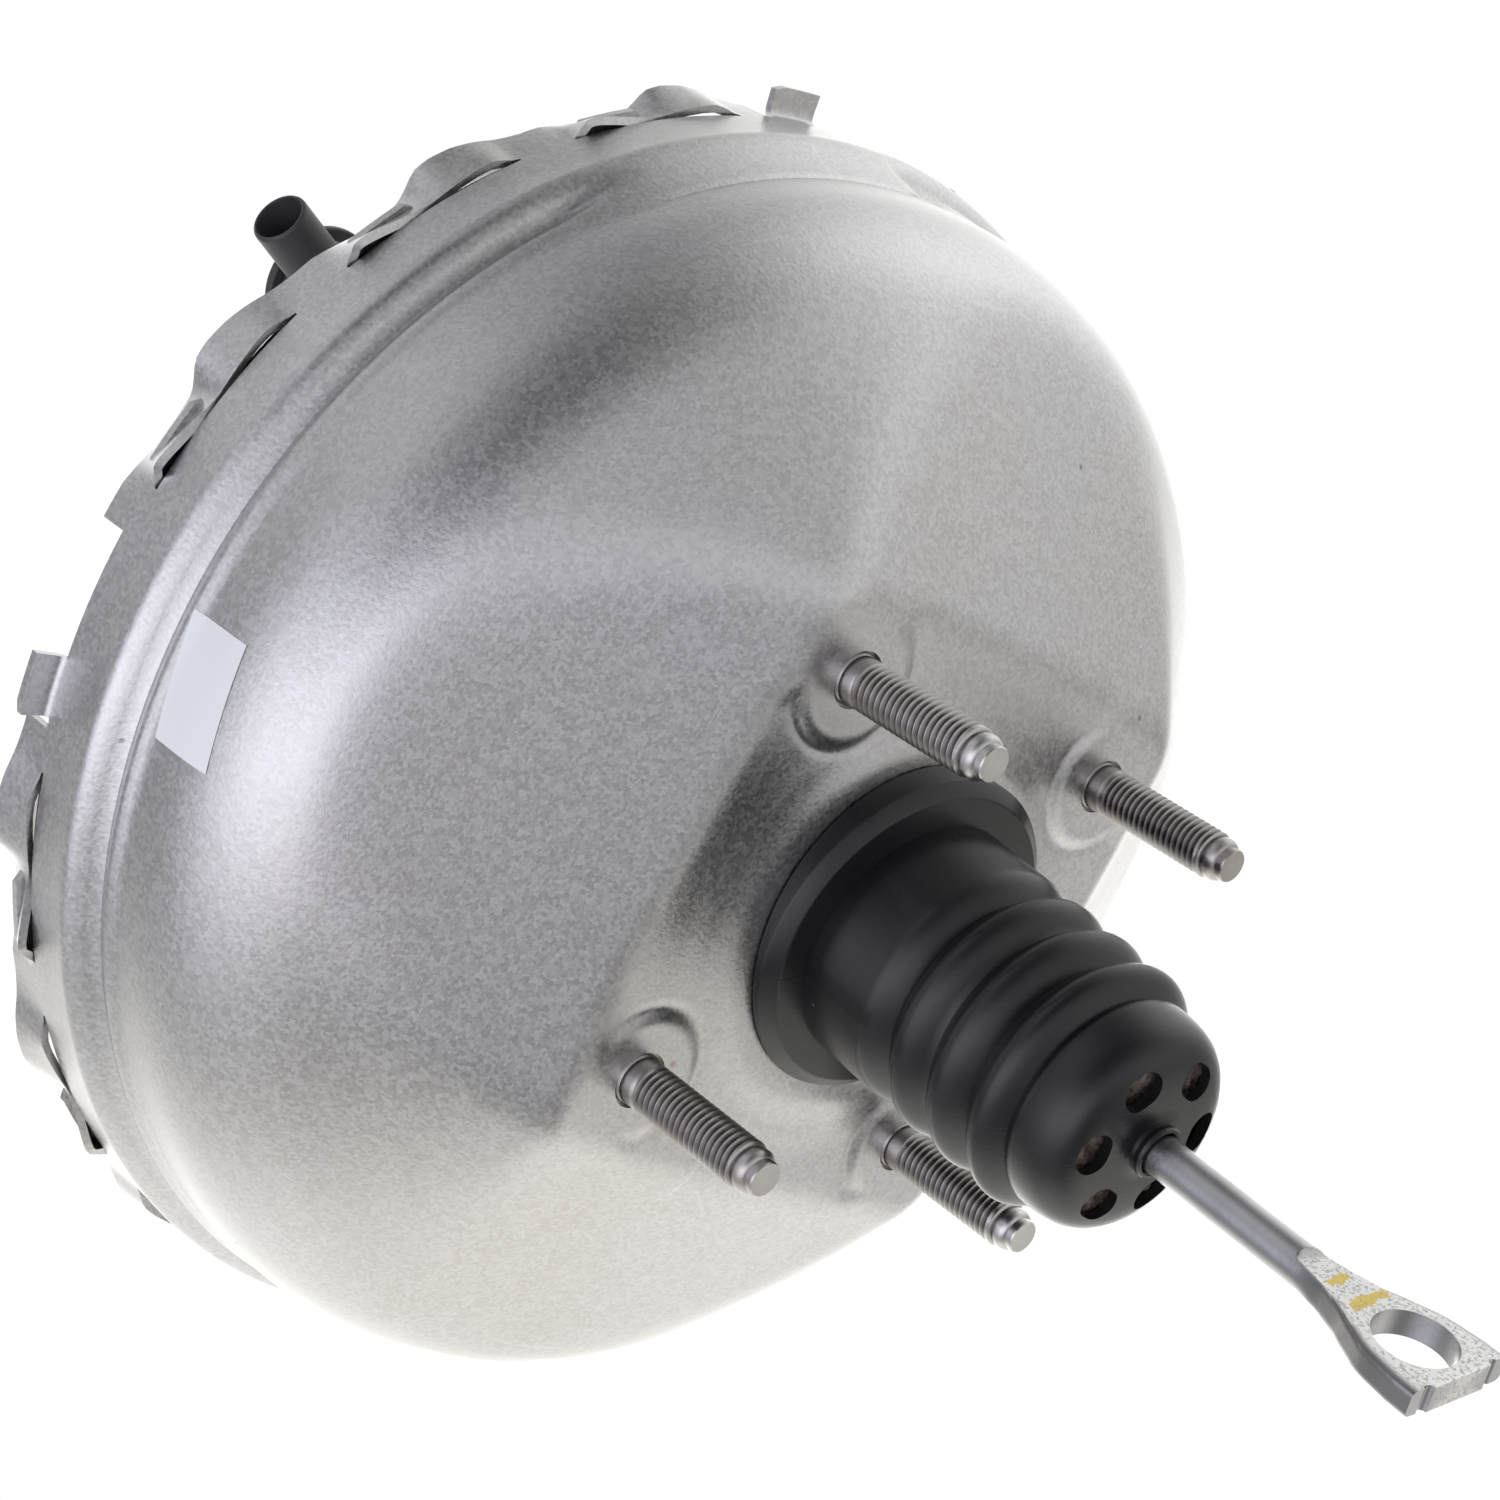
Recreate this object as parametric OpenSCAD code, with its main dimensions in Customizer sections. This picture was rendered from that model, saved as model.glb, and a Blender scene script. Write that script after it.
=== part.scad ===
// Single-diaphragm vacuum brake booster.
// Every piece is drawn with local z pointing at the pedal and z = 0 on the firewall face,
// then turned so that the pushrod points along -Y and the part stands with +Z up.

/* [Rear shell] */
// Thickness of the pressed steel sheet
sheet = 1.6; // [1.2:0.1:2]
// Outside diameter of the drum wall
drum_d = 261.4; // [240:0.2:310]
// How far the skirt stands out beyond the drum wall
skirt_step = 4.8; // [4:0.1:6]
// Distance from the firewall face to the start of the round shoulder
shoulder_depth = 60; // [54:1:72]
// Height of the straight drum wall
wall_h = 12.5; // [10:0.5:16]
// Height of the skirt, from the step to its free edge
skirt_h = 27.2; // [24:0.1:34]
// Radius of the round shoulder
shoulder_r = 38; // [30:1:40]
// How far the flat top reaches beyond the circle of the studs at its corners
corner_margin = 19.7; // [14:0.1:24]
// How far the square top reaches beyond the stud centres
facet_margin = 15.6; // [13:0.2:20]
// Slope of the four flat facets, in degrees
facet_slope = 28.8; // [24:0.2:32]
// Radius of the raised round seat under the boot
seat_step_r = 41.8; // [39:0.2:44]
// Height of that seat above the firewall face
seat_step_h = 0.8; // [0.4:0.1:1.2]
// Length of the neck that holds the rear seal
neck_depth = 15.6; // [14:0.2:19]

/* [Skirt features] */
// Angle covered by one locking lance
lance_span = 17.4; // [14:0.2:19]
// Angle between neighbouring lances in a group
lance_pitch = 22.9; // [21:0.1:24]
// How far a lance bulges outward
lance_bulge = 3.2; // [2.5:0.1:4]
// Height of a lance strip
lance_h = 7.1; // [6:0.1:8]
// Width of the slit behind a lance
slit_w = 1.6; // [1.2:0.1:2.2]
// Width of a bent tab
tab_w = 12; // [10:0.5:16]
// Height of a bent tab above the skirt
tab_h = 6; // [4:0.5:8]
// Depth of the notch beside a tab
notch_depth = 7.6; // [5:0.2:8]
// Angle covered by a notch
notch_span = 11; // [6:0.5:12]

/* [Front shell] */
// How far the front face lies beyond the free edge of the skirt
front_h = 48.3; // [40:0.5:60]
// Height of the master cylinder pad above the front face
pad_h = 4; // [2:0.5:6]
// How far that pad reaches beyond the master cylinder stud centres
pad_margin = 17; // [14:0.5:22]
// Diameter of the master cylinder pilot bore
pilot_d = 44; // [40:1:46]
// Depth of the pilot bore behind the pad
pilot_depth = 16; // [14:0.5:20]
// How far the front wall stands inside the skirt at the flange
wall_inset = 11; // [10:0.5:14]

/* [Studs] */
// Side of the square stud pattern on the firewall face
stud_pitch = 85.7; // [80:0.1:96]
// Diameter of the firewall studs
stud_d = 10; // [8:0.5:12]
// Length of the firewall studs beyond the face
stud_len = 36.8; // [20:0.1:45]
// Distance between the two master cylinder studs
master_pitch = 82; // [78:0.5:96]
// Diameter of the master cylinder studs
master_stud_d = 10; // [8:0.5:11]
// Length of the master cylinder studs beyond the pad
master_stud_len = 22; // [16:1:30]
// Thickness of the reinforcement plates inside the shells
plate_t = 2.5; // [2:0.5:3]

/* [Power piston] */
// Travel of the power piston
piston_travel = 34; // [24:1:35]
// Wall of the sliding tube of the valve body
tube_wall = 2.5; // [2:0.1:3]
// Width of the ring of rubber around the sliding tube
seal_w = 8.4; // [7:0.1:10]
// Wall of the hub of the valve body outside its ports
hub_wall = 11.3; // [9:0.1:13]
// Room for the roll of the diaphragm between the support plate and the drum wall
roll_w = 23; // [20:1:28]
// Thickness of the diaphragm
rubber_t = 2; // [1.5:0.1:2.5]

/* [Control valve] */
// Travel of the air valve inside the valve body
valve_travel = 2; // [1:0.5:2.5]
// Wall of the air valve plunger around the ball socket
socket_wall = 2.4; // [2:0.1:3]
// Length of the front guide of the plunger
guide_h = 9; // [7:0.5:12]
// Diameter of the reaction disc
reaction_d = 22; // [20:0.5:26]
// Thickness of the reaction disc
reaction_t = 4.9; // [4:0.1:6]

/* [Pushrods] */
// Diameter of the input pushrod
rod_d = 8; // [7:0.1:9]
// Diameter of the ball at its inner end
ball_d = 10; // [9:0.1:12]
// Distance from the firewall face to the centre of the ball
ball_depth = 28; // [27:0.5:32]
// Distance from the ball to the centre of the eye
rod_len = 169.3; // [145:0.1:204]
// How far the pushrod hangs down at rest, in degrees
droop = 2.75; // [0:0.05:3]
// How far the eye is turned about the pushrod, in degrees
eye_turn = 23.5; // [0:0.5:45]
// Bore of the eye
eye_bore_d = 16; // [12:0.1:19]
// Thickness of the eye
eye_t = 5.2; // [4:0.1:6.5]
// Width of the eye beyond its bore, on each side
eye_rim = 4.8; // [3.5:0.1:6]
// Diameter of the output pushrod
out_rod_d = 12; // [10:0.5:14]
// How far the output pushrod stands out of the master cylinder pad
out_rod_reach = 6; // [4:0.5:14]

/* [Dust boot] */
// Room between the sliding tube and the valleys of the bellows
boot_room = 4; // [3:0.5:6]
// Height of the ridges of the bellows
ridge_h = 3.5; // [2.5:0.1:4.5]
// Number of ridges on the bellows
ridge_count = 4; // [3:1:5]
// Width of the flange of the boot beyond the bellows
boot_flange_w = 9.9; // [7:0.1:12]
// Length of the boot from the firewall face
boot_len = 81; // [78:0.5:96]
// Wall of the boot
boot_wall = 2; // [1.5:0.1:2.4]

/* [Check valve] */
// Gap between the master cylinder pad and the boss of the check valve
valve_gap = 1.3; // [1:0.1:14]
// Direction of the check valve, seen from the pedal, in degrees
valve_dir = 135.7; // [130:0.1:150]
// Height of the pad under the check valve
valve_pad_h = 3; // [1:0.5:6]
// Direction of the hose nipple, in degrees
nipple_dir = 159; // [120:1:180]
// Slope of the hose nipple back towards the booster, in degrees
nipple_slope = 0; // [0:1:12]
// Outside diameter of the hose nipple
nipple_d = 12.6; // [11:0.1:15]
// Wall of the hose nipple
nipple_wall = 1.1; // [1:0.1:2]
// Length of the hose nipple from the valve axis
nipple_len = 27; // [18:0.5:28]
// Diameter of the flange of the check valve
valve_flange_d = 29; // [27:0.5:34]
// Diameter of the stem in the grommet
stem_d = 12; // [11:0.5:14]
// Lift of the check valve disc
disc_lift = 2; // [1:0.5:2.5]

/* [Label] */
// Height of the blank label along the drum
label_h = 18; // [10:1:20]
// Angle that the blank label covers
label_span = 10; // [6:0.5:14]

/* [Hidden] */
$fn = 72;
cut = 1;
// Gap at a seat between curved faces, on the radius
seat_gap = 0.1;
// Gap at a sliding or turning fit, on the radius
run_gap = 0.06;
// Gap in front of a face that another piece comes to rest on
rest_gap = 0.3;

// Rear shell
drum_r = drum_d / 2;
skirt_r = drum_r + skirt_step;
bead_depth = shoulder_depth + wall_h;
bead_slope = 4;
skirt_depth = bead_depth + skirt_h;
stud_half = stud_pitch / 2;
stud_r = stud_d / 2;
knurl = 0.4;
stud_hole_r = stud_r + knurl + 0.5;
head_t = 3;
head_w = 3;
plate_half = stud_half + stud_r + head_w - 0.5;
facet_reach = stud_half + facet_margin;
shoulder_x = drum_r - shoulder_r;

// The straight flank from a corner of the top touches the round shoulder at this angle
corner_r = stud_half * sqrt(2) + corner_margin;
corner_dist = norm([corner_r - shoulder_x, shoulder_depth]);
shoulder_turn = atan2(shoulder_depth, corner_r - shoulder_x) - acos(shoulder_r / corner_dist);

// Lances, tabs and notches, as directions in degrees seen from the pedal
group_dirs = [53, 142.8, 230.5, 321];
lances_per_group = 3;
tab_lag = 38.5;
notch_lag = tab_lag + 2.5;
slit_depth = skirt_depth - lance_h - slit_w;
lug_start = 0.6;
lug_end = 0.9;

// Front shell
flange_t = 2;
flange_front = 4.5 - skirt_depth;
flange_back = flange_front + flange_t;
flange_r = skirt_r - sheet - rest_gap;
wall_r = skirt_r - wall_inset;
front_face = -skirt_depth - front_h;
pad_face = front_face - pad_h;
pad_r = master_pitch / 2 + pad_margin;
pad_edge = pad_r + 3;
pilot_r = pilot_d / 2;
neck_end = pad_face + pilot_depth;
master_r = master_stud_d / 2;
plate_front = pad_face + sheet;
plate_back = plate_front + plate_t;

// Input rod, air valve and stop key
ball_r = ball_d / 2;
ball_neck_r = ball_r - 2;
rod_r = rod_d / 2;
mouth_r = ball_neck_r + 1.4;
plunger_r = ball_r + run_gap + socket_wall;
plunger_head_r = plunger_r + 1.5;
groove_r = ball_r;
groove_back = -ball_depth - ball_r - 3;
key_t = 2;
key_w = 2 * groove_r + 6;
key_back = groove_back - valve_travel - rest_gap;
key_front = key_back - key_t;
groove_front = key_front - rest_gap;
plunger_nose = groove_front - guide_h - 2;

// Valve body
poppet_lip_r = plunger_head_r + 3.2;
valve_bore = poppet_lip_r + 2.3;
tube_r = valve_bore + tube_wall;
neck_bore = tube_r + seal_w;
neck_r = neck_bore + sheet;
hub_back = -neck_depth - 1.4;
tube_reach = piston_travel;
head_h = 3;
chamber_floor = hub_back - head_h;
head_recess = chamber_floor - valve_travel - rest_gap;
disc_back = plunger_nose - valve_travel - rest_gap;
disc_front = disc_back - reaction_t;
hub_front = disc_front - 3.1;
rod_head_front = hub_front - 1;
reaction_r = reaction_d / 2;
port_r = 1.5;
port_reach = reaction_r + 0.7 + port_r;
port_dirs = [45, 135, 225, 315];
hub_r = port_reach + port_r + hub_wall;
clamp_t = 3;
clamp_back = key_front - 0.7;
clamp_front = clamp_back - clamp_t;
clamp_r = hub_r + 5.5;

// Diaphragm, support plate and return spring
support_back = clamp_front - rubber_t;
support_t = 2;
support_front = support_back - support_t;
support_r = drum_r - sheet - roll_w;
dish_h = 8;
lock_t = 3;
return_wire = 3.2;
spring_back_r = hub_r + 5;
spring_front_r = pilot_r + sheet + return_wire / 2 + 0.8;

// Poppet, its retainer and the springs around the input rod
poppet_face = hub_back + rest_gap;
poppet_t = 2.4;
poppet_bore = rod_r + 3.6;
sleeve_r = poppet_lip_r - 0.2;
sleeve_bore = sleeve_r - 1.4;
bead_t = 2.5;
bead_back = hub_back + 11 + bead_t;
retainer_back = bead_back + 2.5;
poppet_wire = 0.8;
valve_wire = 1.2;
washer_t = 1.5;
washer_r = rod_r + 5.3;
washer_back = 19.5;
washer_from_ball = ball_depth + washer_back + washer_r * sin(droop) - washer_t;
filter_front = 23.2;
filter_back = tube_reach - 2;

// Boot and silencer felt
boot_tilt = atan((ball_depth + boot_len) * tan(droop) / boot_len);
boot_valley_r = tube_r + boot_room + boot_wall;
boot_ridge_r = boot_valley_r + ridge_h;
boot_flange_r = boot_ridge_r + boot_flange_w;
boot_seat = boot_flange_r * sin(boot_tilt) + rest_gap;
boot_cap_r = boot_valley_r - 0.3;
boot_plug_r = neck_bore - 0.4;
bellows_start = 24;
bellows_end = boot_len - 18;
cap_round = 8;
boot_rim_r = rod_r + 2;
felt_from_ball = ball_depth + boot_len - 17;
felt_h = 9;
felt_r = boot_cap_r - boot_wall - 1.2;

// Check valve
flange_cover_r = valve_flange_d / 2;
boss_r = flange_cover_r + 1.5;
valve_off = pad_edge + valve_gap + boss_r;
valve_at = valve_off * [cos(valve_dir), sin(valve_dir)];
valve_face = front_face - valve_pad_h;
stem_r = stem_d / 2;
grommet_r = stem_r + 3.4;
grommet_lip_r = grommet_r + 3;
grommet_lip_t = 3.4;
valve_seat = valve_face - grommet_lip_t;
flange_cover_t = 2;
elbow_back = valve_seat - flange_cover_t;
elbow_r = stem_r + 4.5;
nipple_r = nipple_d / 2;
nipple_root_r = nipple_r + 0.8;
nipple_root = elbow_r + 1.5;
nipple_lip = 0.8;
hose_room = 0.9;
nipple_rise = (nipple_r + hose_room) / cos(nipple_slope) + flange_cover_r * tan(nipple_slope);
nipple_z = elbow_back - nipple_rise - rest_gap;
elbow_front = nipple_z - nipple_r - 1.2;
valve_cap_r = flange_cover_r - 1;
valve_cap_t = 2.4;
valve_room_r = elbow_r - 2.5;
valve_room_front = elbow_front + 2;
disc_t = 1.6;
disc_r = valve_room_r - 1.5;
disc_seat = elbow_back - rest_gap;
disc_stop = disc_seat - disc_t - disc_lift - rest_gap;
throat_r = disc_r - 0.6;
valve_hole_r = stem_r - 2.5;

// Turns local z, towards the pedal, into -Y
module part_frame() {
    rotate([90, 0, 0]) children();
}

module along_rod() {
    part_frame() translate([0, 0, -ball_depth]) rotate([droop, 0, 0]) children();
}

module at_valve() {
    part_frame() translate([valve_at[0], valve_at[1], 0]) children();
}

module disc(r, z0, z1) {
    translate([0, 0, z0]) cylinder(r = r, h = z1 - z0);
}

module ring(r_out, r_in, z0, z1) {
    difference() {
        disc(r_out, z0, z1);
        disc(r_in, z0 - cut, z1 + cut);
    }
}

module turned(points) {
    rotate_extrude() polygon(points);
}

module at_studs() {
    for (x = [-1, 1], y = [-1, 1]) translate([x * stud_half, y * stud_half, 0]) children();
}

module at_master_studs() {
    for (x = [-1, 1]) translate([x * master_pitch / 2, 0, 0]) children();
}

module at_ports() {
    for (a = port_dirs) rotate([0, 0, a]) translate([port_reach, 0, 0]) children();
}

function around(r, a) = r * [cos(a), sin(a)];
function reversed(list) = [for (k = [len(list) - 1:-1:0]) list[k]];

// Slice of a full turn, from angle a over span, reaching out to r
module wedge(a, span, r, z0, z1) {
    steps = 4;
    translate([0, 0, z0]) linear_extrude(z1 - z0)
        polygon(concat([[0, 0]], [for (k = [0:steps]) around(r, a + span * k / steps)]));
}

// Sector of a ring, from angle a over span
module ring_part(r_out, r_in, a, span, z0, z1) {
    intersection() {
        ring(r_out, r_in, z0, z1);
        wedge(a, span, r_out * 1.2, z0 - cut, z1 + cut);
    }
}

// Coil spring from z0 with radius r0 to z1 with radius r1, with one closed turn at each end
module coil(r0, r1, wire, turns, z0, z1) {
    sides = 6;
    per_turn = 18;
    n = turns * per_turn;
    dead = wire * 1.08;
    span = z1 - z0 - wire;
    lift = (span - 2 * dead) / (turns - 2);
    function height(t) = t < 1 ? dead * t : t > turns - 1 ? span - dead * (turns - t) : dead + lift * (t - 1);
    points = [for (i = [0:n], s = [0:sides - 1])
        let (t = i / per_turn, q = 360 * s / sides, r = r0 + (r1 - r0) * t / turns + wire / 2 * cos(q))
        [r * cos(360 * t), r * sin(360 * t), z0 + wire / 2 + height(t) + wire / 2 * sin(q)]];
    skin = [for (i = [0:n - 1], s = [0:sides - 1])
        let (a = i * sides, b = a + sides, next = (s + 1) % sides)
        [a + s, a + next, b + next, b + s]];
    ends = [[for (s = [sides - 1:-1:0]) s], [for (s = [0:sides - 1]) n * sides + s]];
    polyhedron(points, concat(skin, ends), convexity = 10);
}

// Section of the rear shell's shoulder, drawn inward by inset
function shoulder(inset) = [for (k = [0:8])
    let (a = shoulder_turn * (1 - k / 8), r = shoulder_r - inset)
    [shoulder_x + r * cos(a), -shoulder_depth + r * sin(a)]];
function top_r(inset) = shoulder(inset)[0][0] + (shoulder(inset)[0][1] + inset) * tan(shoulder_turn);

module rear_form(inset, low) {
    reach = 2 * skirt_r;
    step = bead_depth + inset * 0.4;
    intersection() {
        turned(concat(
            [[0, -inset], [top_r(inset), -inset]], shoulder(inset),
            [[drum_r - inset, -step], [skirt_r - inset, -step - bead_slope],
            [skirt_r - inset, -low], [0, -low]]));
        intersection_for(turn = [0, 90, 180, 270])
            rotate([0, 0, turn]) translate([facet_reach, 0, 0]) rotate([0, facet_slope, 0])
                translate([-reach, -reach, -reach]) cube([2 * reach, 2 * reach, reach - inset]);
    }
}

// Plan of one lance strip: two humps between the ends, as shares of the span and of the bulge
lance_marks = [[0, 0], [0.1, 1], [0.4, 1], [0.5, 0.35], [0.6, 1], [0.9, 1], [1, 0]];
end_tuck = 0.3;
end_turn = 0.4;
function lance_side(a, r, tuck) = [for (m = lance_marks)
    let (end = m[1] == 0 ? 1 : 0, side = m[0] < 0.5 ? -1 : 1)
    around(r + lance_bulge * m[1] + tuck * end, a + lance_span * m[0] + end_turn * end * side)];

module lance_strip(a) {
    outer = lance_side(a, skirt_r, -end_tuck);
    inner = lance_side(a, skirt_r - sheet, end_tuck);
    translate([0, 0, -skirt_depth]) linear_extrude(lance_h) polygon(concat(outer, reversed(inner)));
}

lance_starts = [for (g = group_dirs, k = [0:lances_per_group - 1])
    g + (k - (lances_per_group - 1) / 2) * lance_pitch - lance_span / 2];

module bent_tab(a) {
    root = 1.5;
    rotate([0, 0, a]) translate([skirt_r - root, -tab_w / 2, -skirt_depth])
        cube([tab_h + root, tab_w, sheet]);
}

module rear_shell() {
    color("silver") part_frame() {
        difference() {
            rear_form(0, skirt_depth);
            rear_form(sheet, skirt_depth + cut);
            disc(seat_step_r - sheet, -sheet - cut, 0);
            at_studs() disc(stud_hole_r, -neck_depth, cut);
            for (a = lance_starts)
                wedge(a, lance_span, skirt_r * 1.1, -skirt_depth - cut, -slit_depth);
            for (g = group_dirs)
                wedge(g - notch_lag - notch_span, notch_span, skirt_r * 1.1,
                    -skirt_depth - cut, notch_depth - skirt_depth);
        }
        ring(seat_step_r, seat_step_r - sheet, -sheet / 2, seat_step_h);
        ring(seat_step_r - sheet / 2, neck_bore, seat_step_h - sheet, seat_step_h);
        ring(neck_r, neck_bore, -neck_depth, seat_step_h - sheet / 2);
        ring(neck_r, tube_r + 1.5, -neck_depth, sheet - neck_depth);
        for (a = lance_starts) lance_strip(a);
        for (g = group_dirs) bent_tab(g - tab_lag);
    }
}

module stud_plate() {
    color("slategray") part_frame() difference() {
        intersection() {
            translate([-plate_half, -plate_half, -sheet - plate_t])
                cube([2 * plate_half, 2 * plate_half, plate_t]);
            disc(stud_half * sqrt(2) + stud_r + head_w + 1.5, -sheet - plate_t, -sheet);
        }
        disc(neck_r + 1, -sheet - plate_t - cut, 0);
        at_studs() disc(stud_r + knurl + seat_gap, -sheet - plate_t - cut, 0);
    }
}

// Stud with its head below z = 0, a knurled root pressed through plate and sheet, and a plain point
module stud(r, length) {
    point = r * 0.5;
    root = sheet + plate_t;
    disc(r + head_w, -head_t, 0);
    disc(r + knurl, 0, root);
    disc(r, root, root + length - point);
    translate([0, 0, root + length - point]) cylinder(r1 = r * 0.78, r2 = r * 0.66, h = point);
}

module firewall_studs() {
    color("gray") part_frame()
        at_studs() translate([0, 0, -sheet - plate_t]) stud(stud_r, stud_len);
}

module rear_bearing() {
    color("ivory") part_frame()
        ring(neck_bore - seat_gap, tube_r + run_gap, -neck_depth * 0.45, -4.2);
}

module rear_seal() {
    color("black") part_frame()
        ring(neck_bore - seat_gap, tube_r + run_gap, sheet - neck_depth, -neck_depth * 0.45);
}

// Outline of the bellows from the seat to the cap, drawn inward by inset
function bellows(inset) = [for (k = [0:8 * ridge_count])
    let (t = k / (8 * ridge_count), wave = 0.5 - 0.5 * cos(360 * ridge_count * t))
    [boot_valley_r + ridge_h * (1 - 0.15 * t) * wave - inset,
    bellows_start + (bellows_end - bellows_start) * t]];
function cap(inset) = [for (k = [0:6])
    [boot_cap_r - cap_round + (cap_round - inset) * cos(15 * k),
    boot_len - 2 - cap_round + (cap_round - inset) * sin(15 * k)]];

module dust_boot() {
    tube_end = bellows_start - 3;
    hole_r = rod_r + rest_gap;
    outer = concat(
        [[boot_flange_r, boot_seat], [boot_flange_r, boot_seat + 2], [boot_flange_r - 3, boot_seat + 5],
        [boot_ridge_r, boot_seat + 5], [boot_ridge_r, tube_end]],
        bellows(0), cap(0), [[boot_rim_r, boot_len - 2], [boot_rim_r, boot_len]]);
    inner = concat(
        [[boot_plug_r, boot_seat], [boot_plug_r, boot_seat - 4],
        [boot_plug_r - boot_wall, boot_seat - 4], [boot_plug_r - boot_wall, boot_seat + 3],
        [boot_ridge_r - boot_wall, boot_seat + 6], [boot_ridge_r - boot_wall, tube_end]],
        bellows(boot_wall), cap(boot_wall),
        [[hole_r, boot_len - 2 - boot_wall], [hole_r, boot_len]]);
    color("dimgray") part_frame() difference() {
        rotate([boot_tilt, 0, 0]) difference() {
            turned(concat(outer, reversed(inner)));
            for (a = [0:60:300]) rotate([0, 0, a + 20]) vent();
        }
        ring(seat_step_r, boot_plug_r + boot_wall, -boot_seat, seat_step_h + rest_gap);
    }
}

// Oval opening through the flat end of the boot's cap
module vent() {
    w = 2.8;
    half = 2.2;
    translate([boot_cap_r - cap_round - 1.2, 0, boot_len - 2 - boot_wall - cut]) {
        for (y = [-half, half]) translate([0, y, 0]) cylinder(r = w, h = boot_wall + 2 * cut);
        translate([-w, -half, 0]) cube([2 * w, 2 * half, boot_wall + 2 * cut]);
    }
}

// Section of the front shell's cone as shares of the way in from the wall, and heights over the face
cone_marks = [[0.52, 14], [0.39, 6], [0.24, 1.2], [0.08, 0]];
module front_form(inset, low) {
    cone = [for (m = cone_marks)
        [pad_edge + (wall_r - pad_edge) * m[0] - inset, front_face + m[1] + inset * (1 - m[0])]];
    turned(concat(
        [[0, low], [wall_r - inset, low], [wall_r - inset, flange_front - 1]], cone,
        [[pad_edge - inset, front_face + inset], [pad_r - inset, pad_face + inset], [0, pad_face + inset]]));
}

module front_shell() {
    lug_r = skirt_r + lance_bulge - sheet - rest_gap;
    inside = flange_back + cut;
    color("darkgray") part_frame() {
        difference() {
            union() {
                front_form(0, flange_back);
                ring(flange_r, wall_r - 3, flange_front, flange_back);
                translate([valve_at[0], valve_at[1], 0]) disc(boss_r, valve_face, flange_front);
            }
            front_form(sheet, inside);
            translate([valve_at[0], valve_at[1], 0]) {
                disc(boss_r - sheet, valve_face + sheet, flange_front + cut);
                disc(grommet_r + seat_gap, valve_face - cut, valve_face + 2 * sheet);
            }
            disc(pilot_r, pad_face - cut, pad_face + 2 * sheet);
            at_master_studs() disc(master_r + knurl + seat_gap, pad_face - cut, pad_face + 2 * sheet);
        }
        ring(pilot_r + sheet, pilot_r, pad_face + sheet / 2, neck_end);
        ring(pilot_r + sheet, out_rod_d / 2 + 3, neck_end - sheet, neck_end);
        for (a = lance_starts)
            ring_part(lug_r, flange_r - 1, a + lance_span * lug_start,
                lance_span * (lug_end - lug_start), flange_front, flange_back);
    }
}

module front_plate() {
    color("slategray") part_frame() difference() {
        ring(pad_r - sheet - 3, pilot_r + sheet + seat_gap, plate_front, plate_back);
        at_master_studs() disc(master_r + knurl + seat_gap, plate_front - cut, plate_back + cut);
    }
}

// The heads leave room for the front end of the return spring
module master_cylinder_studs() {
    color("gray") part_frame() difference() {
        at_master_studs() translate([0, 0, plate_back]) rotate([180, 0, 0])
            stud(master_r, master_stud_len);
        disc(spring_front_r + return_wire / 2 + rest_gap, plate_back, plate_back + head_t + cut);
    }
}

module front_seal() {
    color("black") part_frame()
        ring(pilot_r - seat_gap, out_rod_d / 2 + run_gap, neck_end - sheet - 6, neck_end - sheet);
}

// Section of the diaphragm: hub, dish on the support plate, roll, drum wall and clamped bead
module diaphragm() {
    seat_r = hub_r + seat_gap;
    roll_r = drum_r - sheet - 2;
    bead_r = flange_r - seat_gap;
    bead_top = -bead_depth - bead_slope - 3;
    bead_low = flange_back + rest_gap / 2;
    edge = support_r + 2.5;
    roll_top = -bead_depth + 8;
    color("darkslategray") part_frame() turned([
        [seat_r, clamp_front], [clamp_r + 12, clamp_front], [support_r - 6, clamp_front + dish_h],
        [edge, clamp_front + 6], [edge + 4, clamp_front - 4], [roll_r - 6, roll_top],
        [roll_r, roll_top - 6], [roll_r, bead_top], [bead_r, bead_top], [bead_r, bead_low],
        [roll_r - rubber_t, bead_low], [roll_r - rubber_t, roll_top - 6.5],
        [roll_r - 6 - rubber_t * 0.8, roll_top - rubber_t * 0.8], [edge + 4 - rubber_t, clamp_front - 5],
        [edge - rubber_t * 0.6, clamp_front + 6 - rubber_t], [support_r - 6, clamp_front + dish_h - rubber_t],
        [clamp_r + 12, support_back], [seat_r, support_back]]);
}

module return_spring() {
    color("goldenrod") part_frame()
        coil(spring_front_r, spring_back_r, return_wire, 7, plate_back, support_front);
}

module label() {
    air = 0.05;
    film = 0.15;
    low = -bead_depth + rest_gap;
    color("white") part_frame() intersection() {
        difference() {
            rear_form(-air - film, skirt_depth);
            rear_form(-air, skirt_depth + cut);
        }
        wedge(185.5 - label_span / 2, label_span, skirt_r * 1.1, low, low + label_h);
    }
}

module valve_grommet() {
    inner_lip = valve_face + sheet;
    color("black") at_valve() {
        ring(grommet_r, stem_r + run_gap, valve_seat, inner_lip + grommet_lip_t);
        ring(grommet_lip_r, grommet_r - cut, valve_seat, valve_face);
        ring(grommet_lip_r, grommet_r - cut, inner_lip, inner_lip + grommet_lip_t);
    }
}

module check_valve_base() {
    stem_back = valve_face + sheet + grommet_lip_t + 3;
    color("#2b2e31") at_valve() difference() {
        union() {
            disc(stem_r, valve_seat, stem_back);
            disc(stem_r + 1.2, stem_back - 2.5, stem_back);
            disc(flange_cover_r, elbow_back, valve_seat);
        }
        disc(valve_hole_r, elbow_back - cut, stem_back + cut);
    }
}

module at_nipple() {
    translate([0, 0, nipple_z]) rotate([0, 90 - nipple_slope, nipple_dir]) children();
}

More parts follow.
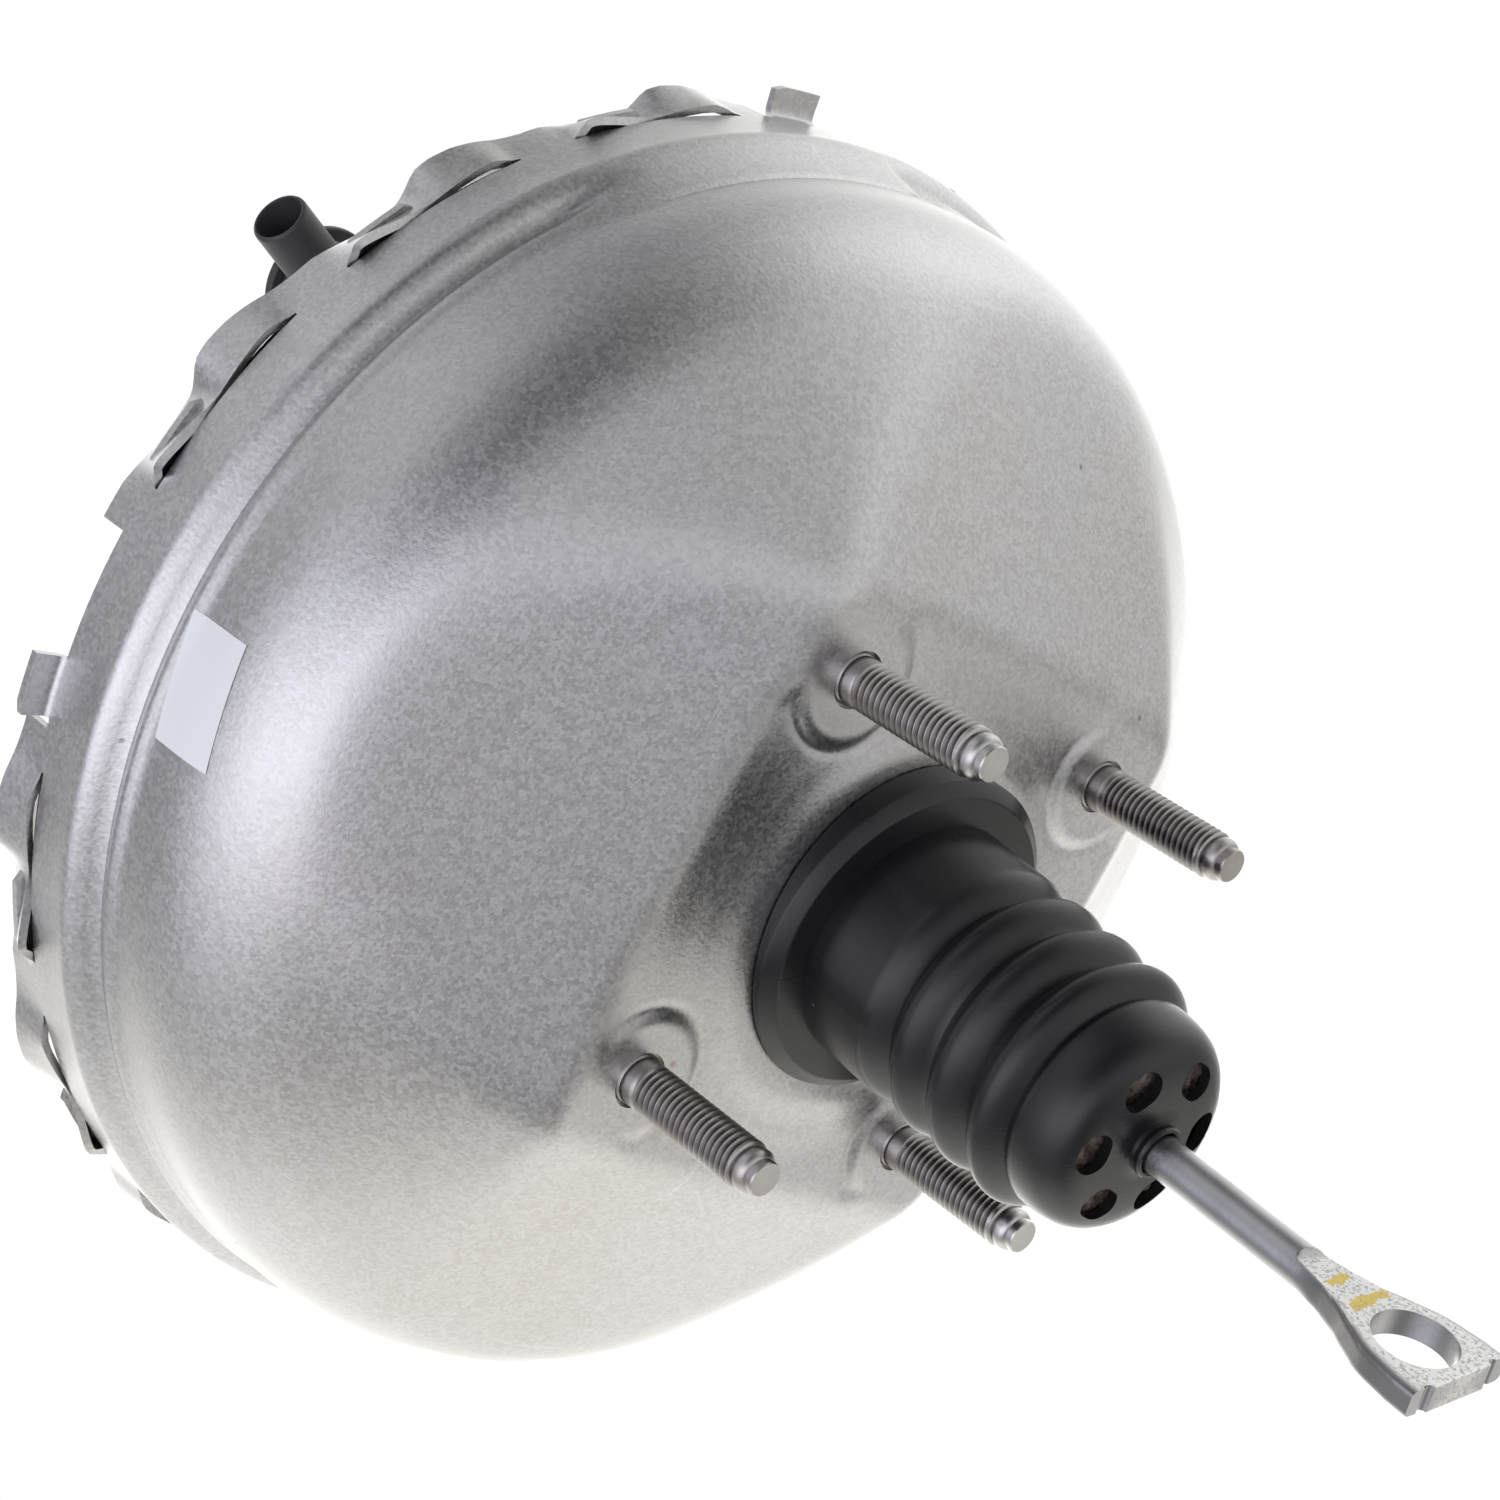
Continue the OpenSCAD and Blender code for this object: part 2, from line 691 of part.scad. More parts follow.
module check_valve_elbow() {
    color("#2b2e31") at_valve() difference() {
        union() {
            disc(elbow_r, elbow_front, elbow_back);
            disc(valve_cap_r, elbow_front - valve_cap_t, elbow_front + rest_gap);
            at_nipple() turned([
                [0, 0], [nipple_root_r, 0], [nipple_root_r, nipple_root - nipple_lip],
                [nipple_r, nipple_root], [nipple_r, nipple_len - nipple_lip],
                [nipple_r - nipple_lip / 2, nipple_len], [0, nipple_len]]);
        }
        disc(throat_r, valve_room_front, elbow_back);
        disc(valve_room_r, disc_stop, elbow_back + cut);
        at_nipple() cylinder(r = nipple_r - nipple_wall, h = nipple_len + cut);
    }
}

module check_valve_disc() {
    color("black") at_valve() disc(disc_r, disc_seat - disc_t, disc_seat);
}

module check_valve_spring() {
    spring_r = disc_r - 1.2;
    color("silver") at_valve() coil(spring_r, spring_r, 0.7, 4, valve_room_front, disc_seat - disc_t);
}

module valve_body() {
    slot_w = key_w + 0.4;
    color("#3a3f3a") part_frame() {
        difference() {
            union() {
                disc(tube_r, hub_back, tube_reach);
                disc(hub_r, hub_front, hub_back);
                disc(clamp_r, clamp_front, clamp_back);
            }
            disc(valve_bore, chamber_floor, tube_reach + cut);
            disc(plunger_head_r + 0.4, head_recess, chamber_floor + cut);
            disc(plunger_r + run_gap, hub_front - cut, chamber_floor);
            disc(reaction_r + seat_gap, hub_front - cut, disc_back);
            translate([-slot_w / 2, -groove_r - 4, key_front - 0.2])
                cube([slot_w, hub_r + groove_r + 8, key_t + 0.4]);
            at_ports() disc(port_r, hub_front - cut, chamber_floor + cut);
        }
        ring(plunger_head_r + 2.2, plunger_head_r + 0.9, chamber_floor - cut / 2, hub_back - 1.2);
    }
}

module support_plate() {
    seat_r = hub_r + seat_gap;
    top = support_back + dish_h - rest_gap;
    color("darkgray") part_frame() turned([
        [seat_r, support_back], [clamp_r + 12, support_back], [support_r - 6, top],
        [support_r - 1.5, top - 1.3], [support_r, top - 5.5], [support_r, support_back - 4],
        [support_r - support_t, support_back - 4], [support_r - support_t, top - 6],
        [support_r - 3.4, top - 3], [support_r - 6, top - 2.2],
        [clamp_r + 12.5, support_front], [seat_r, support_front]]);
}

module lock_ring() {
    color("silver") part_frame()
        ring(spring_back_r - return_wire / 2 - 1.2, hub_r + seat_gap, support_front - lock_t, support_front);
}

module reaction_disc() {
    color("black") part_frame() disc(reaction_r, disc_front, disc_back);
}

// The output rod ends this far inside the pad, so that the screw's head stands out by out_rod_reach
screw_head_h = 4;
screw_tip_h = 2;
rod_tip = pad_face - out_rod_reach + screw_head_h + screw_tip_h;
screw_r = out_rod_d / 3;
screw_h = 16;

module output_rod() {
    color("gray") part_frame() difference() {
        union() {
            disc(reaction_r, rod_head_front, disc_front);
            disc(out_rod_d / 2, rod_tip, rod_head_front + cut);
        }
        disc(screw_r + seat_gap, rod_tip - cut, rod_tip + screw_h + cut);
    }
}

module adjusting_screw() {
    color("silver") part_frame() {
        disc(screw_r, rod_tip, rod_tip + screw_h);
        translate([0, 0, rod_tip - screw_head_h])
            cylinder(r = out_rod_d / 2 - 0.3, h = screw_head_h, $fn = 6);
        translate([0, 0, rod_tip - screw_head_h - screw_tip_h])
            cylinder(r1 = screw_r * 0.6, r2 = screw_r, h = screw_tip_h);
    }
}

module rod_retainer() {
    t = 1.2;
    rim_r = hub_r - 2;
    color("silver") part_frame() {
        difference() {
            ring(rim_r, out_rod_d / 2 + 0.7, rod_head_front - t, rod_head_front);
            at_ports() disc(port_r, rod_head_front - t - cut, rod_head_front + cut);
        }
        ring(rim_r, rim_r - 2, rod_head_front - t / 2, hub_front);
    }
}

module stop_key() {
    fork_r = groove_r + seat_gap;
    tail = groove_r + 3;
    color("silver") part_frame() translate([0, 0, key_front]) difference() {
        translate([-key_w / 2, -tail, 0]) cube([key_w, tail + hub_r + 1.5, key_t]);
        translate([0, 0, -cut]) cylinder(r = fork_r, h = key_t + 2 * cut);
        translate([-fork_r, -tail - cut, -cut]) cube([2 * fork_r, tail + cut, key_t + 2 * cut]);
    }
}

module poppet() {
    color("black") part_frame() turned([
        [poppet_bore, poppet_face], [poppet_lip_r, poppet_face], [poppet_lip_r, poppet_face + poppet_t],
        [sleeve_r, poppet_face + poppet_t], [sleeve_r, bead_back - bead_t],
        [valve_bore - seat_gap, bead_back - bead_t], [valve_bore - seat_gap, bead_back],
        [sleeve_bore, bead_back], [sleeve_bore, poppet_face + poppet_t],
        [poppet_bore, poppet_face + poppet_t]]);
}

module poppet_retainer() {
    color("silver") part_frame() ring(valve_bore - seat_gap, poppet_bore, bead_back, retainer_back);
}

module poppet_spring() {
    spring_r = sleeve_bore - rest_gap - poppet_wire / 2;
    color("silver") part_frame() coil(spring_r, spring_r, poppet_wire, 5, poppet_face + poppet_t, bead_back);
}

module air_filter() {
    color("#4d4a44") part_frame() ring(valve_bore - seat_gap, rod_r + 5.6, filter_front, filter_back);
}

module air_valve() {
    color("gray") part_frame() difference() {
        union() {
            disc(groove_r, plunger_nose, hub_back);
            disc(plunger_r, plunger_nose + 2, groove_front);
            disc(plunger_r, groove_back, hub_back);
            disc(plunger_head_r, chamber_floor, hub_back);
        }
        translate([0, 0, -ball_depth]) sphere(r = ball_r + run_gap);
        disc(mouth_r, -ball_depth, hub_back + cut);
        translate([0, 0, hub_back - 4]) cylinder(r1 = mouth_r, r2 = mouth_r + 1.2, h = 4 + cut);
    }
}

module valve_return_spring() {
    spring_r = poppet_bore + 0.9;
    color("silver") part_frame()
        coil(spring_r, spring_r, valve_wire, 6, retainer_back,
            washer_back - washer_t - washer_r * sin(droop));
}

module spring_washer() {
    color("silver") along_rod()
        ring(washer_r, rod_r + seat_gap, washer_from_ball, washer_from_ball + washer_t);
}

// Outline of the eye: distance along the rod from the centre of its bore, and half width as a share
eye_marks = [[-28, 0.26], [-22, 0.32], [-16, 0.42], [-12, 0.57], [-8, 0.71], [-3, 0.88], [2, 0.98], [5, 1]];
module eye_plate() {
    half = eye_bore_d / 2 + eye_rim;
    notch = 4.4;
    end = eye_bore_d / 2 + 4;
    right = concat([for (m = eye_marks) [half * m[1], m[0]]],
        [[half, end - notch], [half - notch, end - notch], [half - notch, end]]);
    left = [for (p = right) [-p[0], p[1]]];
    translate([0, 0, -eye_t / 2]) linear_extrude(eye_t) polygon(concat(right, reversed(left)));
}

module input_rod() {
    shank_start = ball_r + 9;
    waist = rod_len - 34;
    waist_h = 12;
    color("gray") along_rod() difference() {
        union() {
            sphere(r = ball_r);
            disc(ball_neck_r, 0, shank_start);
            disc(rod_r, shank_start, waist);
            translate([0, 0, waist]) cylinder(r1 = rod_r, r2 = rod_r - 0.7, h = waist_h);
            disc(rod_r + 1.6, washer_from_ball + washer_t, washer_from_ball + washer_t + 2);
            at_eye() eye_plate();
        }
        at_eye() cylinder(r = eye_bore_d / 2, h = 3 * eye_t, center = true);
    }
}

// Turns the plane of the eye so that its bore crosses the rod
module at_eye() {
    translate([0, 0, rod_len]) rotate([0, 0, eye_turn]) rotate([90, 0, 0]) children();
}

module silencer_felt() {
    color("#6b5a48") along_rod() ring(felt_r, rod_r + seat_gap, felt_from_ball, felt_from_ball + felt_h);
}

rear_shell();
stud_plate();
firewall_studs();
rear_bearing();
rear_seal();
dust_boot();
front_shell();
front_plate();
master_cylinder_studs();
front_seal();
diaphragm();
return_spring();
label();
valve_grommet();
check_valve_base();
check_valve_elbow();
check_valve_disc();
check_valve_spring();
valve_body();
support_plate();
lock_ring();
reaction_disc();
output_rod();
adjusting_screw();
rod_retainer();
stop_key();
poppet();
poppet_retainer();
poppet_spring();
air_filter();
air_valve();
valve_return_spring();
input_rod();
spring_washer();
silencer_felt();
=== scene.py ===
import math

import bpy
import numpy as np
from mathutils import Matrix, Vector


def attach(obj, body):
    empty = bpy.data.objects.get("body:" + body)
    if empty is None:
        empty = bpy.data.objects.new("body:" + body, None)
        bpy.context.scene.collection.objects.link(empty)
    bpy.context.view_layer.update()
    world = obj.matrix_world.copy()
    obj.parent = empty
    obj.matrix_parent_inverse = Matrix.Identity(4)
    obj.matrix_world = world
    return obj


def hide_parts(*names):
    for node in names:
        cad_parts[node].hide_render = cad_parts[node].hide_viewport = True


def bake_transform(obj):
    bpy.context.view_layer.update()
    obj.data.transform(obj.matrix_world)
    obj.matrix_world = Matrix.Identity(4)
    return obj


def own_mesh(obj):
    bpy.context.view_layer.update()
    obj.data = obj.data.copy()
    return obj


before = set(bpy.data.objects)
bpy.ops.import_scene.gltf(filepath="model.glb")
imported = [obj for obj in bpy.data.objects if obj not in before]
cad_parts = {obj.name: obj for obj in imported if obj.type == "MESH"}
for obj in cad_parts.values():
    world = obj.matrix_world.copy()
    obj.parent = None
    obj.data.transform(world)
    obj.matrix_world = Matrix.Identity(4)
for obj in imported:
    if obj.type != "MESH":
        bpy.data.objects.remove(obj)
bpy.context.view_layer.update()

# Vacuum brake booster. Pieces are shaped in millimetres in the drum's own frame, where z points
# at the pedal and z = 0 is the firewall face, and settle() then puts them into the CAD frame.
SHEET = 1.6
DRUM_R = 130.7
SKIRT_R = 135.5
FREE_EDGE = -99.7
SLIT_TOP = -90.3
SLIT_LOW = -90.95
NOTCH_TOP = -92.1
SHOULDER_R = 38.0
SHOULDER_X = 92.7
SHOULDER_Z = -60.0
SHOULDER_TURN = math.radians(50.01)
FACET_REACH = 58.45
FACET_SLOPE = math.radians(28.8)
STUD_AT = 42.85
STUD_HOLE_R = 5.9
GROUPS = (53.0, 142.8, 230.5, 321.0)
LANCE_SPAN = 17.4
LANCE_STARTS = [g + k * 22.9 - LANCE_SPAN / 2 for g in GROUPS for k in (-1, 0, 1)]
TAB_HALF = 2.54
BOOT_TILT = math.radians(4.40)
ROD_DROOP = math.radians(2.75)
BALL_Z = -28.0
EYE_FROM_BALL = 169.3
EYE_TURN = math.radians(23.5)
VALVE_AT = (-56.039, 54.686)
CORNERS = ((-1, -1), (-1, 1), (1, -1), (1, 1))
STUD_ROOT = 4.1
MASTER_STUD_AT = 41.0
MASTER_PAD_BACK = -147.9
MASTER_HOLE_R = 5.55
GROMMET_HOLE_R = 9.5
BOOT_SPLIT = 52.0
BOOT_WALL = 2.0
FLANGE_FOOT = 1.12
MOULD_LINE = math.radians(-152)
BOOT_STEPS = 120
NOZZLE_Z = -163.9
NOZZLE_TURN = math.radians(159)
EYE_BORE_R = 8.0
FELT_TOP = 101.0
LABEL_PROUD = 0.12
TO_FRAME = Matrix.Rotation(math.pi / 2, 4, "X") @ Matrix.Scale(0.001, 4)
ROD_LINE = Matrix.Translation((0, 0, BALL_Z)) @ Matrix.Rotation(ROD_DROOP, 4, "X")
EYE_PLACE = ROD_LINE @ Matrix.Translation((0, 0, EYE_FROM_BALL))
EYE_WAY = Matrix.Rotation(EYE_TURN, 4, "Z")


# ---- Working with pieces


def only(piece):
    """Selects this piece alone and makes it the active one."""
    bpy.ops.object.select_all(action="DESELECT")
    piece.select_set(True)
    bpy.context.view_layer.objects.active = piece


def edit_all(kind="VERT"):
    bpy.ops.object.mode_set(mode="EDIT")
    bpy.ops.mesh.select_mode(type=kind)
    bpy.ops.mesh.select_all(action="SELECT")


def leave_edit():
    bpy.ops.object.mode_set(mode="OBJECT")


def points_of(piece):
    co = np.zeros(len(piece.data.vertices) * 3)
    piece.data.vertices.foreach_get("co", co)
    return co.reshape(-1, 3)


def set_points(piece, co):
    piece.data.vertices.foreach_set("co", np.asarray(co, np.float32).ravel())
    piece.data.update()


def mark_points(piece, name, values):
    """Gives every point of the mesh a number that a finish reads under this name."""
    mark = piece.data.attributes.new(name, "FLOAT", "POINT")
    mark.data.foreach_set("value", np.asarray(values, np.float32))


def start_with(name):
    """Names the primitive that was just added and applies its place."""
    piece = bpy.context.object
    piece.name = name
    bpy.ops.object.transform_apply(location=True, rotation=True, scale=True)
    return piece


def close_seams(piece, gap=0.002):
    only(piece)
    edit_all()
    bpy.ops.mesh.remove_doubles(threshold=gap)
    bpy.ops.mesh.normals_make_consistent(inside=False)
    leave_edit()


def apply_modifier(piece, kind, **values):
    only(piece)
    m = piece.modifiers.new(kind.title(), kind)
    for key, value in values.items():
        setattr(m, key, value)
    bpy.ops.object.modifier_apply(modifier=m.name)


def turned(name, outline, steps=96):
    """Piece turned on a lathe: the outline is drawn point by point and spun about the z axis."""
    r, z = outline[0]
    bpy.ops.object.select_all(action="DESELECT")
    bpy.ops.mesh.primitive_plane_add(size=1, location=(r, 0, z))
    piece = start_with(name)
    edit_all()
    bpy.ops.mesh.merge(type="CENTER")
    for (r0, z0), (r1, z1) in zip(outline, outline[1:]):
        bpy.ops.mesh.extrude_region_move(TRANSFORM_OT_translate={"value": (r1 - r0, 0, z1 - z0)})
    leave_edit()
    apply_modifier(piece, "SCREW", steps=steps, render_steps=steps, use_merge_vertices=True,
                   merge_threshold=0.001)
    close_seams(piece)
    return piece


def softened(outline, setback, steps=4):
    """The same outline with each inner corner rounded off."""
    out = [outline[0]]
    for before, here, after in zip(outline, outline[1:], outline[2:]):
        b, h, a = (Vector(p) for p in (before, here, after))
        s = min(setback, (b - h).length * 0.45, (a - h).length * 0.45)
        start, end = h + (b - h).normalized() * s, h + (a - h).normalized() * s
        for k in range(steps + 1):
            t = k / steps
            out.append(tuple((1 - t) ** 2 * start + 2 * t * (1 - t) * h + t * t * end))
    return out + [outline[-1]]


def flat_grid(name, across, along):
    """Grid to be pressed into shape, with the column and row of every point and face."""
    bpy.ops.object.select_all(action="DESELECT")
    bpy.ops.mesh.primitive_grid_add(x_subdivisions=across, y_subdivisions=along, size=2)
    piece = start_with(name)
    co = points_of(piece)
    column = np.rint((co[:, 0] + 1) / 2 * across).astype(int)
    row = np.rint((co[:, 1] + 1) / 2 * along).astype(int)
    corners = np.zeros(len(piece.data.polygons) * 4, int)
    piece.data.polygons.foreach_get("vertices", corners)
    return piece, column, row, corners.reshape(-1, 4)


def drop_faces(piece, mask):
    only(piece)
    bpy.ops.object.mode_set(mode="EDIT")
    bpy.ops.mesh.select_mode(type="FACE")
    bpy.ops.mesh.select_all(action="DESELECT")
    leave_edit()
    piece.data.polygons.foreach_set("select", np.asarray(mask, bool))
    bpy.ops.object.mode_set(mode="EDIT")
    bpy.ops.mesh.delete(type="FACE")
    leave_edit()
def close_poles(piece, reach=0.45):
    """Draws each small ring of points round the axis together into one point."""
    co = points_of(piece)
    near_axis = np.hypot(co[:, 0], co[:, 1]) < reach
    co[near_axis, :2] = 0
    set_points(piece, co)
    close_seams(piece)


def face_heights(piece, key):
    values = np.zeros(len(piece.data.polygons) * 3)
    piece.data.polygons.foreach_get(key, values)
    return values.reshape(-1, 3)[:, 2]


def face_way(piece, low, high, way):
    """Flips all faces if those between two heights don't look up (way 1) or down (way -1)."""
    middle, slope = face_heights(piece, "center"), face_heights(piece, "normal")
    if slope[(middle > low) & (middle < high)].sum() * way < 0:
        edit_all("FACE")
        bpy.ops.mesh.flip_normals()
        leave_edit()


def round_hole(co, corners, x, y, radius, low, high):
    """Moves the rim of a hole onto its circle, and gives the faces inside it between two heights."""
    centre = co[corners].mean(1)
    inside = np.hypot(centre[:, 0] - x, centre[:, 1] - y) < radius
    inside &= (centre[:, 2] > low) & (centre[:, 2] < high)
    rim = np.intersect1d(corners[inside], corners[~inside])
    d = co[rim, :2] - [x, y]
    co[rim, :2] = [x, y] + d * (radius / np.hypot(*d.T))[:, None]
    return inside


def outward(degrees):
    """Directions straight away from the axis."""
    a = np.radians(degrees)
    return np.c_[np.cos(a), np.sin(a), np.zeros_like(a)]


def upward(z):
    return np.c_[0 * z, 0 * z, z]
def cut_with(piece, cutter, operation="DIFFERENCE"):
    apply_modifier(piece, "BOOLEAN", operation=operation, object=cutter, solver="EXACT")
    bpy.data.objects.remove(cutter)


def joined(pieces):
    only(pieces[0])
    for p in pieces:
        p.select_set(True)
    bpy.ops.object.join()
    return pieces[0]


def copy_of(pattern, name):
    """The same piece again, with its own mesh."""
    piece = pattern.copy()
    piece.data = pattern.data.copy()
    piece.name = name
    bpy.context.scene.collection.objects.link(piece)
    return piece


def settle(piece, body, slot, material, *nodes, place=None, sharp=35):
    """Puts a finished piece into the CAD frame, with its body, material and the nodes that it
    stands for; the slot is not used. A piece given no body is settled with none."""
    only(piece)
    piece.data.transform(TO_FRAME @ (place or Matrix.Identity(4)))
    piece.matrix_world = Matrix.Identity(4)
    bpy.ops.object.shade_smooth_by_angle(angle=math.radians(sharp))
    piece.data.materials.clear()
    piece.data.materials.append(material)
    if body:
        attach(piece, body)
    if nodes:
        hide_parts(*nodes)
    return piece


def rise(low, high, x):
    t = np.clip((x - low) / (high - low), 0, 1)
    return t * t * (3 - 2 * t)


# ---- Finishes


def feed(tree, socket, value):
    """Gives a socket its value, or wires another socket to it."""
    if isinstance(value, bpy.types.NodeSocket):
        tree.links.new(value, socket)
    else:
        socket.default_value = (*value, 1) if socket.type == "RGBA" and len(value) == 3 else value


def add(tree, kind, operation=None, **inputs):
    """New node. Each further word is one of its inputs, with a value or a socket."""
    node = tree.nodes.new(kind)
    if operation:
        node.operation = operation
    for key, value in inputs.items():
        feed(tree, node.inputs[key.replace("_", " ")], value)
    return node


def mapped(tree, source, low, high, to_low=0.0, to_high=1.0):
    node = add(tree, "ShaderNodeMapRange", Value=source, From_Min=low, From_Max=high, To_Min=to_low,
               To_Max=to_high)
    return node.outputs["Result"]


def arithmetic(tree, kind, *values):
    node = add(tree, "ShaderNodeMath", kind)
    for socket, value in zip(node.inputs, values):
        feed(tree, socket, value)
    return node.outputs[0]


def dot_product(tree, vector, way):
    node = add(tree, "ShaderNodeVectorMath", "DOT_PRODUCT")
    feed(tree, node.inputs[0], vector)
    feed(tree, node.inputs[1], way)
    return node.outputs["Value"]


def tinted(tree, mask, first, second):
    """Mixes two colours, each given as a value or a socket."""
    node = tree.nodes.new("ShaderNodeMix")
    node.data_type = "RGBA"
    for socket, value in zip((node.inputs["Factor"], *node.inputs[6:8]), (mask, first, second)):
        feed(tree, socket, value)
    return node.outputs[2]


def noise(tree, vector, scale, detail=2.0, rough=0.5, stretch=None):
    if stretch:
        vector = add(tree, "ShaderNodeMapping", Vector=vector, Scale=stretch).outputs["Vector"]
    return add(tree, "ShaderNodeTexNoise", Vector=vector, Scale=scale, Detail=detail,
               Roughness=rough).outputs["Fac"]


def cells(tree, vector, scale):
    """Distance from the nearest of many scattered points, and three random numbers for each point."""
    node = add(tree, "ShaderNodeTexVoronoi", Vector=vector, Scale=scale)
    draw = add(tree, "ShaderNodeSeparateColor", Color=node.outputs["Color"])
    return node.outputs["Distance"], draw.outputs


def new_group(name, inputs, outputs):
    tree = bpy.data.node_groups.new(name, "ShaderNodeTree")
    for label, kind, value in inputs:
        s = tree.interface.new_socket(name=label, in_out="INPUT", socket_type=kind)
        if value is not None:
            s.default_value = value
    for label, kind in outputs:
        tree.interface.new_socket(name=label, in_out="OUTPUT", socket_type=kind)
    return tree, tree.nodes.new("NodeGroupInput").outputs, tree.nodes.new("NodeGroupOutput").inputs


def make_grain():
    """Fine grain of a coated or moulded surface: height for the bump, slow cloud and sparkle."""
    tree, given, out = new_group(
        "surface grain",
        [("Vector", "NodeSocketVector", None), ("Fine", "NodeSocketFloat", 1500.0),
         ("Cloud", "NodeSocketFloat", 18.0)],
        [("Height", "NodeSocketFloat"), ("Cloud", "NodeSocketFloat"), ("Sparkle", "NodeSocketFloat")])
    at = given["Vector"]
    feed(tree, out["Height"], noise(tree, at, given["Fine"], 3.0))
    feed(tree, out["Cloud"], mapped(tree, noise(tree, at, given["Cloud"], 5.0), 0.3, 0.7))
    feed(tree, out["Sparkle"], cells(tree, at, given["Fine"])[1][0])
    return tree


def make_specks():
    """Scattered small spots: a mask that is 1 in the middle of a spot."""
    tree, given, out = new_group(
        "specks",
        [("Vector", "NodeSocketVector", None), ("Scale", "NodeSocketFloat", 60.0),
         ("Size", "NodeSocketFloat", 0.1), ("Amount", "NodeSocketFloat", 0.3)],
        [("Mask", "NodeSocketFloat")])
    distance, draw = cells(tree, given["Vector"], given["Scale"])
    chosen = arithmetic(tree, "LESS_THAN", draw[1], given["Amount"])
    spot = mapped(tree, distance, given["Size"], 0.02)
    feed(tree, out["Mask"], arithmetic(tree, "MULTIPLY", spot, chosen))
    return tree


def make_scratches():
    """Hair-thin scratches in two directions."""
    tree, given, out = new_group(
        "scratches",
        [("Vector", "NodeSocketVector", None), ("Scale", "NodeSocketFloat", 40.0)],
        [("Mask", "NodeSocketFloat")])
    found = []
    for turn, squeeze in (((0.3, 0.5, 0.9), (1, 14, 1)), ((1.1, 0.2, 2.2), (16, 1, 1))):
        way = add(tree, "ShaderNodeMapping", Vector=given["Vector"], Rotation=turn, Scale=squeeze)
        hairs = noise(tree, way.outputs["Vector"], given["Scale"], 1.0)
        found.append(mapped(tree, hairs, 0.74, 0.80))
    feed(tree, out["Mask"], arithmetic(tree, "MAXIMUM", *found))
    return tree


GRAIN, SPECKS, SCRATCHES = make_grain(), make_specks(), make_scratches()


class Finish:
    """One material: its tree, its shader and the object's own coordinates."""

    def __init__(self, name, **sockets):
        self.material = bpy.data.materials.new(name)
        self.material.use_nodes = True
        self.tree = self.material.node_tree
        self.shader = self.tree.nodes["Principled BSDF"]
        for key, value in sockets.items():
            self.shader.inputs[key.replace("_", " ")].default_value = value
        self.at = add(self.tree, "ShaderNodeTexCoord").outputs["Object"]

    def group(self, group, **values):
        node = self.tree.nodes.new("ShaderNodeGroup")
        node.node_tree = group
        feed(self.tree, node.inputs["Vector"], self.at)
        for key, value in values.items():
            node.inputs[key].default_value = value
        return node.outputs

    def mark(self, name):
        """The number that mark_points gave to the mesh."""
        node = self.tree.nodes.new("ShaderNodeAttribute")
        node.attribute_name = name
        return node.outputs["Fac"]

    def over(self, base, mask, share, colour):
        """Lays a colour over the base where the mask is, by at most this share."""
        return tinted(self.tree, mapped(self.tree, mask, 0, 1, 0, share), base, colour)

    def times(self, a, b):
        return arithmetic(self.tree, "MULTIPLY", a, b)

    def colour(self, source):
        feed(self.tree, self.shader.inputs["Base Color"], source)

    def roughness(self, source, low, high):
        feed(self.tree, self.shader.inputs["Roughness"], mapped(self.tree, source, 0, 1, low, high))

    def bump(self, height, distance, strength=1.0):
        node = add(self.tree, "ShaderNodeBump", Strength=strength, Distance=distance, Height=height)
        feed(self.tree, self.shader.inputs["Normal"], node.outputs["Normal"])


def plated_steel():
    """Bead-blasted and plated sheet: satin, with a sparkle, dark pits, thin scratches and rust spots."""
    f = Finish("satin plated steel", Metallic=1.0, IOR=1.5)
    t = f.tree
    grain = f.group(GRAIN, Fine=1300.0, Cloud=11.0)
    pits = f.group(SPECKS, Scale=95.0, Size=0.075, Amount=0.06)["Mask"]
    rust = f.group(SPECKS, Scale=42.0, Size=0.05, Amount=0.025)["Mask"]
    lines = f.group(SCRATCHES, Scale=26.0)["Mask"]
    base = tinted(t, grain["Cloud"], (0.565, 0.565, 0.575), (0.515, 0.50, 0.48))
    base = f.over(base, grain["Sparkle"], 0.32, (0.95, 0.95, 0.96))
    base = f.over(base, lines, 0.25, (0.85, 0.85, 0.85))
    base = f.over(base, pits, 0.7, (0.16, 0.15, 0.14))
    base = f.over(base, rust, 0.6, (0.30, 0.17, 0.09))
    f.colour(base)
    uneven = arithmetic(t, "ADD", f.times(grain["Cloud"], 0.4), f.times(grain["Sparkle"], 0.6))
    f.roughness(uneven, 0.28, 0.42)
    f.bump(arithmetic(t, "SUBTRACT", f.times(grain["Height"], 0.6), pits), 0.00014, 0.6)
    return f.material


def bare_steel(name, bright, dull, low, high, rust_share=0.5):
    """Machined or formed steel. Deep places that the mesh marks get painted shade, a dark brownish grey."""
    f = Finish(name, Metallic=1.0, IOR=1.5)
    t = f.tree
    grain = f.group(GRAIN, Fine=900.0, Cloud=60.0)
    lines = f.group(SCRATCHES, Scale=120.0)["Mask"]
    base = tinted(t, grain["Cloud"], bright, dull)
    base = f.over(base, lines, 0.3, (0.9, 0.9, 0.9))
    # Painted shade: near black where the mesh marks deep places, such as thread roots
    base = f.over(base, f.mark("painted_shade_and_forged_side"), 0.82, (0.10, 0.085, 0.075))
    brown = mapped(t, noise(t, f.at, 95.0, 4.0), 0.52, 0.72, 0, rust_share)
    f.colour(tinted(t, brown, base, (0.27, 0.19, 0.13)))
    f.roughness(grain["Cloud"], low, high)
    f.bump(grain["Height"], 0.0001, 0.35)
    return f.material


